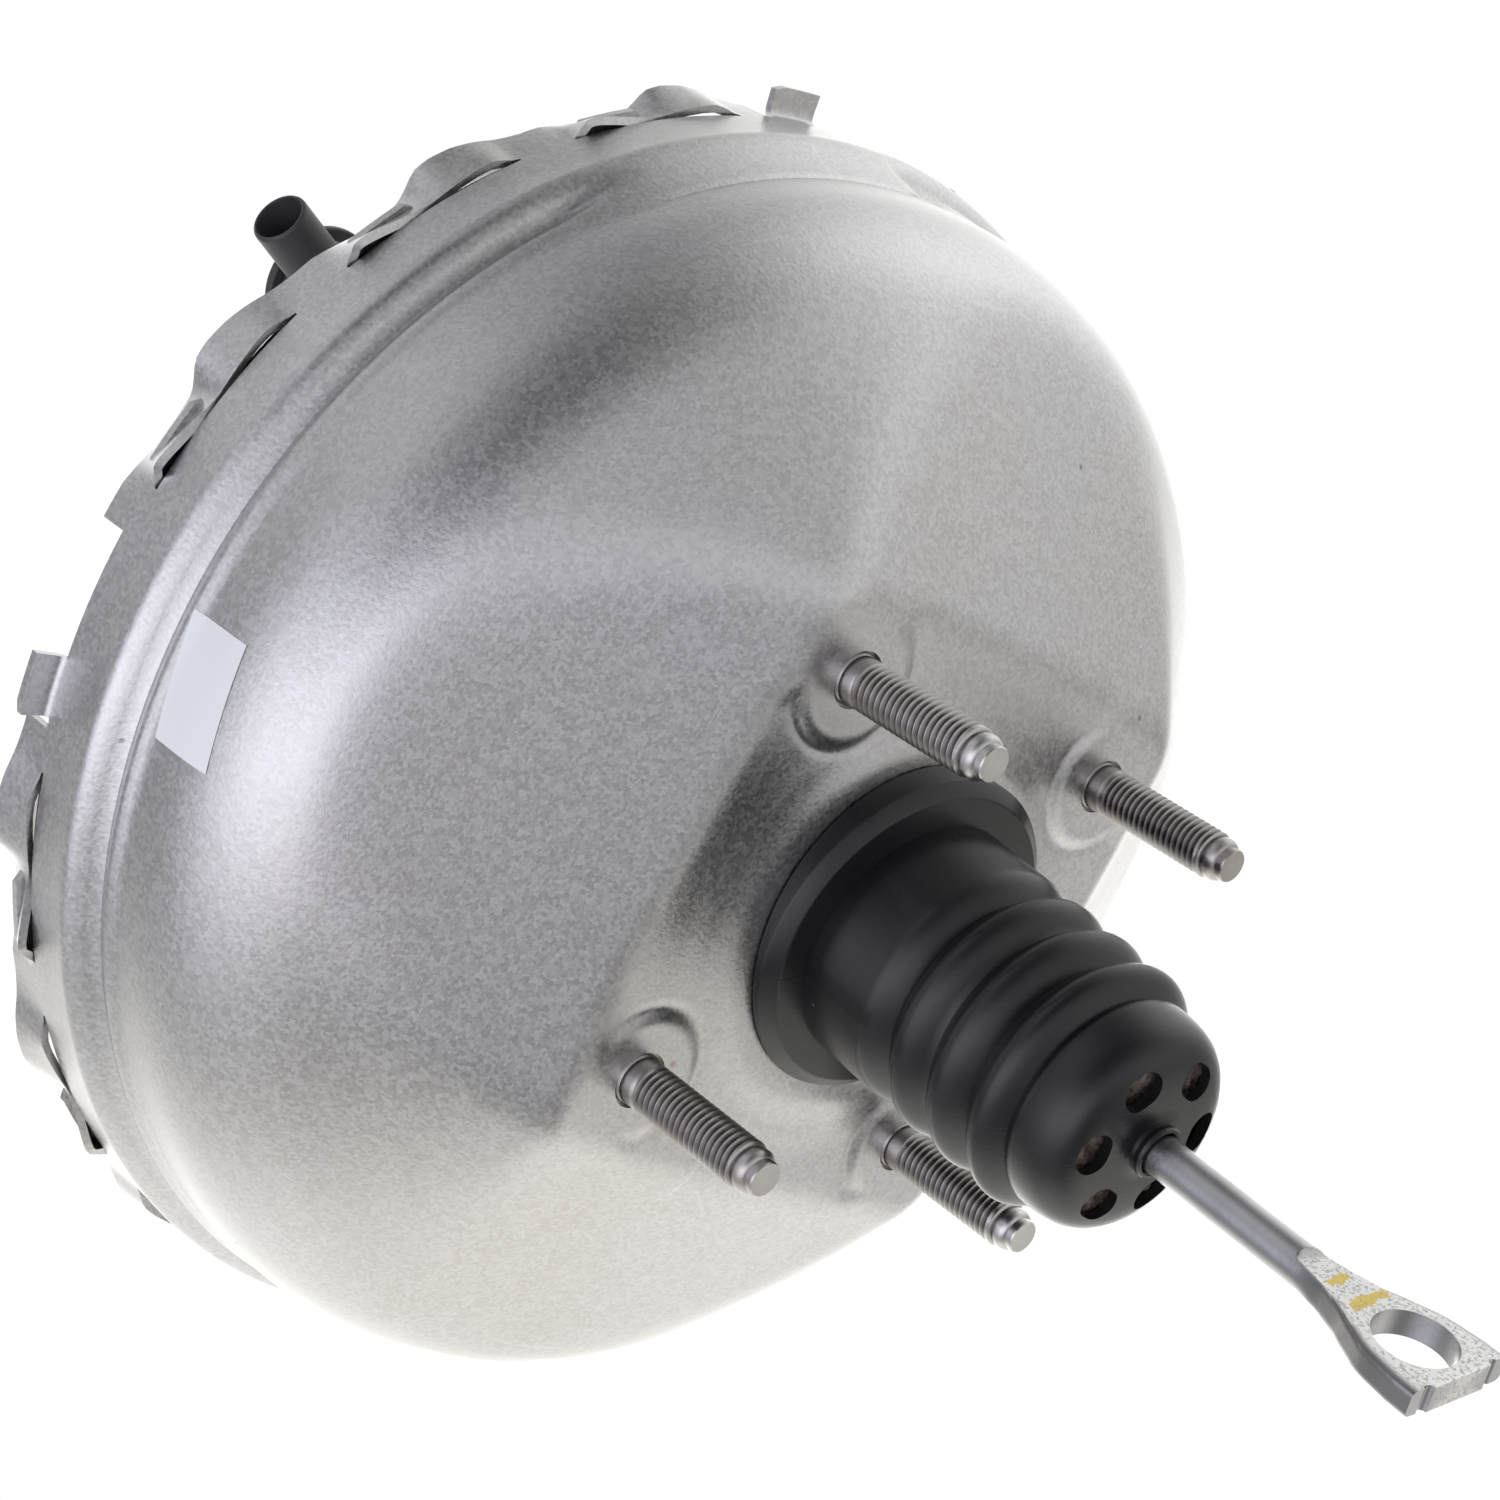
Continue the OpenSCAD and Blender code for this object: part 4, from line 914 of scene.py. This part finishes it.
def make_pushrod():
    """Ball, round rod and forged eye: a section that widens into a plate, with both faces cut flat."""
    steps = 64
    rows = [-174.3, -173.9, -172.9, -171.3, -169.3, -167.3, -165.7, -165.1, -160.7, -159.9, -140, -120.2,
            -119.9, -118.0, -117.7, -108, -100, -92, -84, -76, -68, -60, -52, -45, -39, -34, -31, -29, -28,
            -27.2, -26.6, -26.1, -25.7, -25.3, -24.9, -24.5, -24.1, -23.6, -23, -22.2, -21.3, -20.3,
            -19.2, -18, -16.8, -15.6, -14.3, -13, -11.7, -10.4, -9.3, -8, -6.5, -5, -3.5, -2, -0.5, 1,
            2.5, 4, 5.5, 7, 8.2, 9.2, 10.2, 10.8, 10.8]
    rows = np.array(rows)
    ball_and_rod = ((-174.3, 0.0), (-173.9, 1.96), (-172.9, 3.47), (-171.3, 4.58), (-169.3, 5.0),
                    (-167.3, 4.58), (-165.7, 3.47), (-165.1, 3.0), (-160.7, 3.0), (-159.9, 4.0),
                    (-120.2, 4.0), (-119.9, 5.6), (-118.0, 5.6), (-117.7, 4.05))
    radius = np.interp(rows, *zip(*ball_and_rod))
    piece, column, row, _ = flat_grid("input_rod_forged", steps, len(rows) - 1)
    a = 2 * math.pi * column / steps
    s, r = rows[row], radius[row]
    wide = np.interp(s, [-28, -22, -18, -15.6, -12, -9.3, -6, -3, 0, 3, 5.5, 9.3],
                     [4.05, 4.15, 4.5, 5.25, 6.6, 8.2, 9.8, 11.3, 12.0, 12.4, 12.75, 12.8])
    wide = np.where(s < -28, r, wide)
    high = np.where(s < -28, r, 4.05 - 1.3 * rise(-24, -9, s))
    power = 2 + 7 * rise(-24, -9, s)
    c, q = np.cos(a), np.sin(a)
    grown = (np.abs(c) ** power + np.abs(q) ** power) ** (-1 / power)
    x, y = wide * c * grown, high * q * grown
    flat = rise(-25.9, -24.1, s - 0.25 * x)
    limit = 2.6 + 1.6 * (1 - flat) + 10 * (s < -28)
    top = np.abs(y) > limit - 0.02
    y = np.clip(y, -limit, limit)
    last = row == row.max()
    x, y = np.where(last, 0, x), np.where(last, 0, y)
    # Both cut faces look along y, and then the section is turned to the eye's real angle
    ct, st = math.cos(EYE_TURN), math.sin(EYE_TURN)
    set_points(piece, np.c_[x * ct - y * st, x * st + y * ct, s])
    # The same mark here darkens the eye's rounded sides, outside its cut faces
    mark_points(piece, "painted_shade_and_forged_side", 0.5 * rise(-27, -18, s) * ~top * ~last * (s < 10.7))
    mark_points(piece, "cast_face", flat * (top | last))
    close_seams(piece)
    bpy.ops.object.select_all(action="DESELECT")
    bpy.ops.mesh.primitive_cylinder_add(vertices=96, radius=EYE_BORE_R, depth=20,
                                        rotation=(math.pi / 2, 0, 0))
    cutters = [start_with("bore_cutter")]
    # The end of the eye: each corner is set back, with a round groove beside the middle block
    for side in (-1, 1):
        bpy.ops.object.select_all(action="DESELECT")
        bpy.ops.mesh.primitive_cube_add(size=1, location=(side * 11.6, 0, 10.9), scale=(4.6, 12, 1.3))
        cutters.append(start_with("step_cutter"))
        bpy.ops.object.select_all(action="DESELECT")
        bpy.ops.mesh.primitive_cylinder_add(vertices=24, radius=1.15, depth=12,
                                            rotation=(math.pi / 2, 0, 0), location=(side * 8.75, 0, 10.8))
        cutters.append(start_with("groove_cutter"))
    for cutter in cutters:
        cutter.data.transform(EYE_WAY)
        cut_with(piece, cutter)
    apply_modifier(piece, "BEVEL", width=0.22, segments=2, limit_method="ANGLE", angle_limit=math.radians(50))
    settle(piece, "pushrod", "bare_steel", forged_finish(), "input_rod", place=EYE_PLACE, sharp=30)


def forged_finish():
    """Pushrod: drawn round bar, with a bright pitted face on the eye and two dabs of yellow paint."""
    f = Finish("forged pushrod", Metallic=1.0, IOR=1.5)
    t = f.tree
    grain = f.group(GRAIN, Fine=700.0, Cloud=70.0)
    lines = f.group(SCRATCHES, Scale=420.0)["Mask"]
    pits = mapped(t, noise(t, f.at, 1300.0, 3.0, 0.6), 0.52, 0.68)
    face = f.mark("cast_face")
    base = tinted(t, grain["Cloud"], (0.56, 0.56, 0.57), (0.42, 0.42, 0.43))
    base = f.over(base, lines, 0.12, (0.9, 0.9, 0.9))
    # Darker on the eye's rounded sides, where the mesh marks them
    base = tinted(t, f.mark("painted_shade_and_forged_side"), base, (0.20, 0.195, 0.19))
    base = tinted(t, face, base, f.over((0.78, 0.78, 0.77), pits, 0.5, (0.26, 0.255, 0.25)))
    # Two slanting dabs of paint, placed by the distance from the bore along the rod and across it
    eye = TO_FRAME @ EYE_PLACE @ EYE_WAY
    from_eye = add(t, "ShaderNodeVectorMath", "SUBTRACT")
    feed(t, from_eye.inputs[0], f.at)
    feed(t, from_eye.inputs[1], eye.to_translation())
    along, across = (dot_product(t, from_eye.outputs[0], eye.col[k].to_3d().normalized()) for k in (2, 0))
    ragged = mapped(t, noise(t, f.at, 420.0, 4.0, 0.65), 0.3, 0.7, -0.0011, 0.0011)
    slant = arithmetic(t, "ADD", arithmetic(t, "ADD", along, f.times(across, 0.1)), ragged)
    uneven = arithmetic(t, "ADD", across, ragged)
    dabs = []
    for middle, half, aside, reach in ((-0.0177, 0.0012, -0.0004, 0.0027), (-0.0112, 0.0015, 0.0004, 0.0052)):
        off = arithmetic(t, "ABSOLUTE", arithmetic(t, "SUBTRACT", slant, middle))
        past = arithmetic(t, "ABSOLUTE", arithmetic(t, "SUBTRACT", uneven, aside))
        dabs.append(f.times(mapped(t, off, half, half - 0.0004), mapped(t, past, reach, reach - 0.0004)))
    paint = f.times(f.times(arithmetic(t, "MAXIMUM", *dabs), face), mapped(t, pits, 0, 1, 1.0, 0.55))
    f.colour(tinted(t, paint, base, (1.0, 0.76, 0.16)))
    feed(t, f.shader.inputs["Metallic"], mapped(t, paint, 0, 1, 1.0, 0.1))
    f.roughness(face, 0.27, 0.42)
    rough_face = f.times(f.times(pits, face), -1.0)
    f.bump(arithmetic(t, "ADD", f.times(grain["Height"], 0.3), rough_face), 0.0002, 0.6)
    return f.material


# ---- Check valve


def make_check_valve():
    place = Matrix.Translation((*VALVE_AT, 0))
    body = turned("check_valve_elbow_body", softened(
        [(0.3, -173.8), (13.5, -173.8), (13.5, -171.4), (10.5, -171.4), (10.5, -156.4), (7.2, -156.4),
         (7.2, -169.0), (0.3, -169.0)], 0.7), 72)
    close_poles(body)
    tip = turned("check_valve_nipple", [
        (5.2, 3.0), (7.1, 3.0), (7.1, 11.2), (6.85, 11.6), (6.45, 11.95), (6.3, 12.3), (6.3, 26.0),
        (6.22, 26.45), (6.0, 26.8), (5.7, 27.0), (5.4, 26.9), (5.22, 26.5), (5.2, 3.0)], 72)
    tip.data.transform(Matrix.Translation((0, 0, NOZZLE_Z)) @ Matrix.Rotation(NOZZLE_TURN, 4, "Z")
                       @ Matrix.Rotation(math.radians(90), 4, "Y"))
    elbow = joined([body, tip])
    settle(elbow, "check_valve", "dark_plastic", DARK_PLASTIC, "check_valve_elbow", place=place)
    base = turned("check_valve_base_round", softened(
        [(3.5, -156.4), (14.5, -156.4), (14.5, -154.4), (6.0, -154.4), (6.0, -143.4), (7.2, -143.2),
         (7.0, -141.5), (3.5, -141.2), (3.5, -156.4)], 0.45, 3), 72)
    settle(base, "check_valve", "dark_plastic", DARK_PLASTIC, "check_valve_base", place=place)
    grommet = turned("valve_grommet_round", softened(
        [(6.1, -154.34), (12.4, -154.34), (12.4, -151.05), (9.4, -151.0), (9.4, -149.4), (12.4, -149.4),
         (12.0, -146.0), (6.1, -146.0), (6.1, -154.34)], 0.5, 3), 72)
    settle(grommet, "housing", "black_rubber", SEAL_RUBBER, "valve_grommet", place=place)
# ---- Felt and label


def make_felt():
    felt = turned("silencer_felt_ring", [
        (4.1, 92.2), (12, 92), (19.3, 92.2), (19.46, 96), (19.3, 100.7), (16.5, 101), (13.5, 101.1),
        (10.5, 101), (7.5, 101), (4.1, 100.8), (4.1, 92.2)], 96)
    apply_modifier(felt, "SUBSURF", levels=2, render_levels=2)
    co = points_of(felt)
    rng = np.random.default_rng(7)
    wave = sum(0.16 * np.sin(co @ rng.normal(0, 1.6, 3) + rng.uniform(0, 6)) for _ in range(7))
    co[:, 2] = np.where(co[:, 2] > 100, co[:, 2] + np.clip(wave, -0.6, 0.55), co[:, 2])
    set_points(felt, co)
    strands = [felt]
    for _ in range(150):
        a = rng.uniform(0, 2 * math.pi)
        r = rng.uniform(9.5, 17.5)
        path = []
        p = np.array([r * math.cos(a), r * math.sin(a), FELT_TOP])
        heading = rng.normal(0, 1, 3) * [1, 1, 0.25] + [0, 0, 0.3]
        for _ in range(6):
            path.append(p.copy())
            heading = heading + rng.normal(0, 0.5, 3) * [1, 1, 0.45]
            heading[2] = abs(heading[2]) * 0.5 if p[2] < FELT_TOP + 0.8 else -abs(heading[2])
            p = p + heading / np.linalg.norm(heading) * 0.75
        strands.append(fibre(path, 0.045))
    settle(joined(strands), "pushrod", "felt", FELT, "silencer_felt", place=ROD_LINE)


def fibre(path, radius):
    """Thin three-sided thread along a few points."""
    mesh = bpy.data.meshes.new("fibre")
    ring, faces = [], []
    for k, p in enumerate(path):
        for j in range(3):
            t = 2 * math.pi * j / 3
            ring.append(tuple(p + np.array([math.cos(t), math.sin(t), 0.4 * math.cos(t)]) * radius))
        if k:
            for j in range(3):
                a, b = 3 * (k - 1) + j, 3 * (k - 1) + (j + 1) % 3
                faces.append((a, b, b + 3, a + 3))
    n = 3 * (len(path) - 1)
    faces += [(2, 1, 0), (n, n + 1, n + 2)]
    mesh.from_pydata(ring, [], faces)
    thread = bpy.data.objects.new("fibre", mesh)
    bpy.context.scene.collection.objects.link(thread)
    return thread


def make_label():
    piece, column, row, _ = flat_grid("blank_label", 24, 24)
    angle = 180.4 + 10.6 * column / 24
    way = outward(angle)
    z = -69.3 + 0.26 * (angle - 180.7) + 15.3 * row / 24
    co = np.zeros((len(row), 3))
    low = z <= SHOULDER_Z
    co[low] = way[low] * (wall_radius(angle[low], z[low]) + LABEL_PROUD)[:, None] + upward(z[low])
    up = ~low
    lift = np.arcsin(np.clip((z[up] - SHOULDER_Z) / (SHOULDER_R + LABEL_PROUD), 0, 1))
    heading = way[up] * np.cos(lift)[:, None] + upward(np.sin(lift))
    centre = way[up] * SHOULDER_X + [0, 0, SHOULDER_Z]
    co[up] = along_ray(centre, heading, 5, 75) + heading * LABEL_PROUD
    set_points(piece, co)
    close_seams(piece)
    apply_modifier(piece, "SOLIDIFY", thickness=0.14, offset=0.0)
    settle(piece, "housing", "white_label", LABEL_FILM, "label", sharp=50)


# ---- Front shell


def make_front_shell():
    """The bowl on the master cylinder's side, with pad, recess, valve boss and the lugs in the lances."""
    path = softened([
        (133.6, -95.2), (124.8, -95.2), (124.4, -97.5), (94.0, -134.0), (85.8, -142.0), (76.2, -146.8),
        (66.1, -148.0), (61.0, -148.0), (58.0, -152.0), (22.0, -152.0), (22.0, -137.6), (9.0, -137.6)],
        1.6, 4)
    fine = []
    for (r0, z0), (r1, z1) in zip(path, path[1:]):
        n = max(1, int(math.hypot(r1 - r0, z1 - z0) / 2.2))
        fine += [(r0 + (r1 - r0) * k / n, z0 + (z1 - z0) * k / n) for k in range(n)]
    fine.append(path[-1])
    fine = np.array(fine)
    marks = [a + LANCE_SPAN * d for a in LANCE_STARTS for d in (0.6, 0.9)]
    angles = column_angles(marks, 1.6)
    piece, column, row, corners = flat_grid("front_shell_pressed", len(angles) - 1, len(fine) - 1)
    a = np.radians(angles[column])
    r, z = fine[row, 0], fine[row, 1]
    x, y = r * np.cos(a), r * np.sin(a)
    off = np.hypot(x - VALVE_AT[0], y - VALVE_AT[1])
    boss = -151.0 + 9.0 * np.clip((off - 14.6) / 3.2, 0, None) ** 1.4
    on_bowl = (r > 59.5) & (r < 124)
    z = np.where(on_bowl, -soft_max(-z, -boss, 1.4), z)
    lug = np.zeros(len(angles), bool)
    for s in LANCE_STARTS:
        off_s = (angles - s - LANCE_SPAN * 0.6 + 0.001) % 360
        lug |= off_s < LANCE_SPAN * 0.3 + 0.002
    r = np.where((row == 0) & lug[column], 136.8, r)
    co = np.c_[r * np.cos(a), r * np.sin(a), z]
    gone = np.zeros(len(corners), bool)
    for x, y, radius in ((*VALVE_AT, GROMMET_HOLE_R), (MASTER_STUD_AT, 0, MASTER_HOLE_R),
                         (-MASTER_STUD_AT, 0, MASTER_HOLE_R)):
        gone |= round_hole(co, corners, x, y, radius, -180, -120)
    set_points(piece, co)
    drop_faces(piece, gone)
    close_seams(piece)
    face_way(piece, -180, -146, -1)
    apply_modifier(piece, "SOLIDIFY", thickness=SHEET, offset=-1.0)
    settle(piece, "housing", "plated_shell", PLATED, "front_shell", sharp=38)


make_rear_shell()
make_front_shell()
make_studs()
make_boot()
make_pushrod()
make_check_valve()
make_felt()
make_label()

# The CAD's own nodes that are shown as they are, by finish
CARRIED_OVER = (
    (DARK_STEEL, "stud_plate front_plate"),
    (BEARING_PLASTIC, "rear_bearing"),
    (SEAL_RUBBER, "rear_seal front_seal diaphragm check_valve_disc reaction_disc poppet"),
    (SPRING_STEEL, "return_spring check_valve_spring poppet_spring valve_return_spring"),
    (DARK_PLASTIC, "valve_body"),
    (PLATED, "support_plate"),
    (FELT, "air_filter"),
    (INNER_STEEL, "lock_ring output_rod adjusting_screw rod_retainer stop_key poppet_retainer air_valve "
                  "spring_washer"))
for finish, names in CARRIED_OVER:
    for node in names.split():
        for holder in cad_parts[node].material_slots:
            holder.material = finish


# ---- Camera, light and floor


def make_camera():
    data = bpy.data.cameras.new("camera")
    data.sensor_width = 36.0
    data.lens = 76.75
    data.shift_x, data.shift_y = -0.0394, 0.0314
    data.clip_start, data.clip_end = 0.02, 20.0
    camera = bpy.data.objects.new("camera", data)
    right, up, back = (0.5942, -0.6482, 0.4761), (-0.2272, 0.4326, 0.8725), (-0.7715, -0.6266, 0.1097)
    turn = Matrix((right, up, back)).transposed().to_4x4()
    camera.matrix_world = Matrix.Translation((-0.4990, -0.3735, 0.0845)) @ turn
    bpy.context.scene.collection.objects.link(camera)
    bpy.context.scene.camera = camera


# Soft lights of the studio: direction, sharpness and colour. They were matched to the shading on the drum.
STUDIO = (
    ((0.41, 0.00, 0.91), 7, (0.58, 0.59, 0.59)),
    ((-0.93, -0.02, -0.37), 7, (1.61, 1.62, 1.82)),
    ((0.66, 0.64, -0.39), 6, (1.10, 1.08, 1.04)),
    ((-0.25, -0.87, 0.43), 9, (0.53, 0.53, 0.54)),
    ((-0.14, 0.98, 0.11), 8, (0.77, 0.77, 0.83)),
    ((0.77, 0.63, -0.04), 7, (1.03, 1.04, 1.08)),
    ((0.17, 0.42, -0.89), 7, (0.74, 0.74, 0.72)),
    ((0.40, -0.82, 0.41), 7, (0.72, 0.71, 0.71)),
    ((0.81, -0.11, -0.58), 7, (0.49, 0.48, 0.45)),
    ((-0.70, -0.58, -0.42), 12, (0.60, 0.60, 0.60)),
    ((0.64, 0.77, -0.03), 6, (1.13, 1.13, 1.05)),
    ((0.20, -0.22, -0.95), 10, (0.91, 0.90, 0.88)),
    ((-0.72, 0.45, 0.53), 9, (0.60, 0.60, 0.62)),
    ((-0.68, -0.71, -0.17), 12, (0.97, 0.96, 1.12)),
    ((0.67, -0.57, -0.47), 9, (0.84, 0.83, 0.79)),
    ((0.61, 0.10, 0.78), 7, (0.88, 0.87, 0.87)))


def make_world():
    """The camera sees plain white. The surfaces see a dim room with soft lights in several directions."""
    world = bpy.data.worlds.new("studio")
    bpy.context.scene.world = world
    world.use_nodes = True
    t = world.node_tree
    way = add(t, "ShaderNodeTexCoord").outputs["Generated"]
    total = None
    for direction, sharpness, colour in STUDIO:
        near = dot_product(t, way, Vector(direction).normalized())
        fall = arithmetic(t, "MULTIPLY_ADD", near, sharpness, -sharpness)
        glow = add(t, "ShaderNodeVectorMath", "SCALE", Scale=arithmetic(t, "POWER", math.e, fall))
        feed(t, glow.inputs[0], colour)
        if total is None:
            total = glow.outputs[0]
            continue
        both = add(t, "ShaderNodeVectorMath", "ADD")
        feed(t, both.inputs[0], total)
        feed(t, both.inputs[1], glow.outputs[0])
        total = both.outputs[0]
    path = add(t, "ShaderNodeLightPath")
    background = t.nodes["Background"]
    feed(t, background.inputs["Color"], tinted(t, path.outputs["Is Camera Ray"], total, (1.0, 1.0, 1.0)))
    background.inputs["Strength"].default_value = 1.0


def blended(tree, share, first, second):
    """Mixes two shaders."""
    node = tree.nodes.new("ShaderNodeMixShader")
    for socket, value in zip(node.inputs, (share, first, second)):
        feed(tree, socket, value)
    return node.outputs[0]


def make_floor():
    """White where the camera sees it, with a faint shadow, and not there for all other rays."""
    bpy.ops.object.select_all(action="DESELECT")
    bpy.ops.mesh.primitive_plane_add(size=12, location=(0, 0, -0.1425))
    floor = start_with("floor")
    material = bpy.data.materials.new("white floor")
    material.use_nodes = True
    t = material.node_tree
    t.nodes.remove(t.nodes["Principled BSDF"])
    soft = add(t, "ShaderNodeBsdfDiffuse", Color=(0.9, 0.9, 0.9))
    glow = add(t, "ShaderNodeEmission", Strength=1.17)
    clear = add(t, "ShaderNodeBsdfTransparent")
    path = add(t, "ShaderNodeLightPath")
    lit = blended(t, 0.82, soft.outputs[0], glow.outputs[0])
    seen = blended(t, path.outputs["Is Camera Ray"], clear.outputs[0], lit)
    feed(t, t.nodes["Material Output"].inputs["Surface"], seen)
    floor.data.materials.append(material)


make_camera()
make_world()
make_floor()
bpy.context.scene.view_settings.view_transform = "Standard"

bpy.context.view_layer.update()
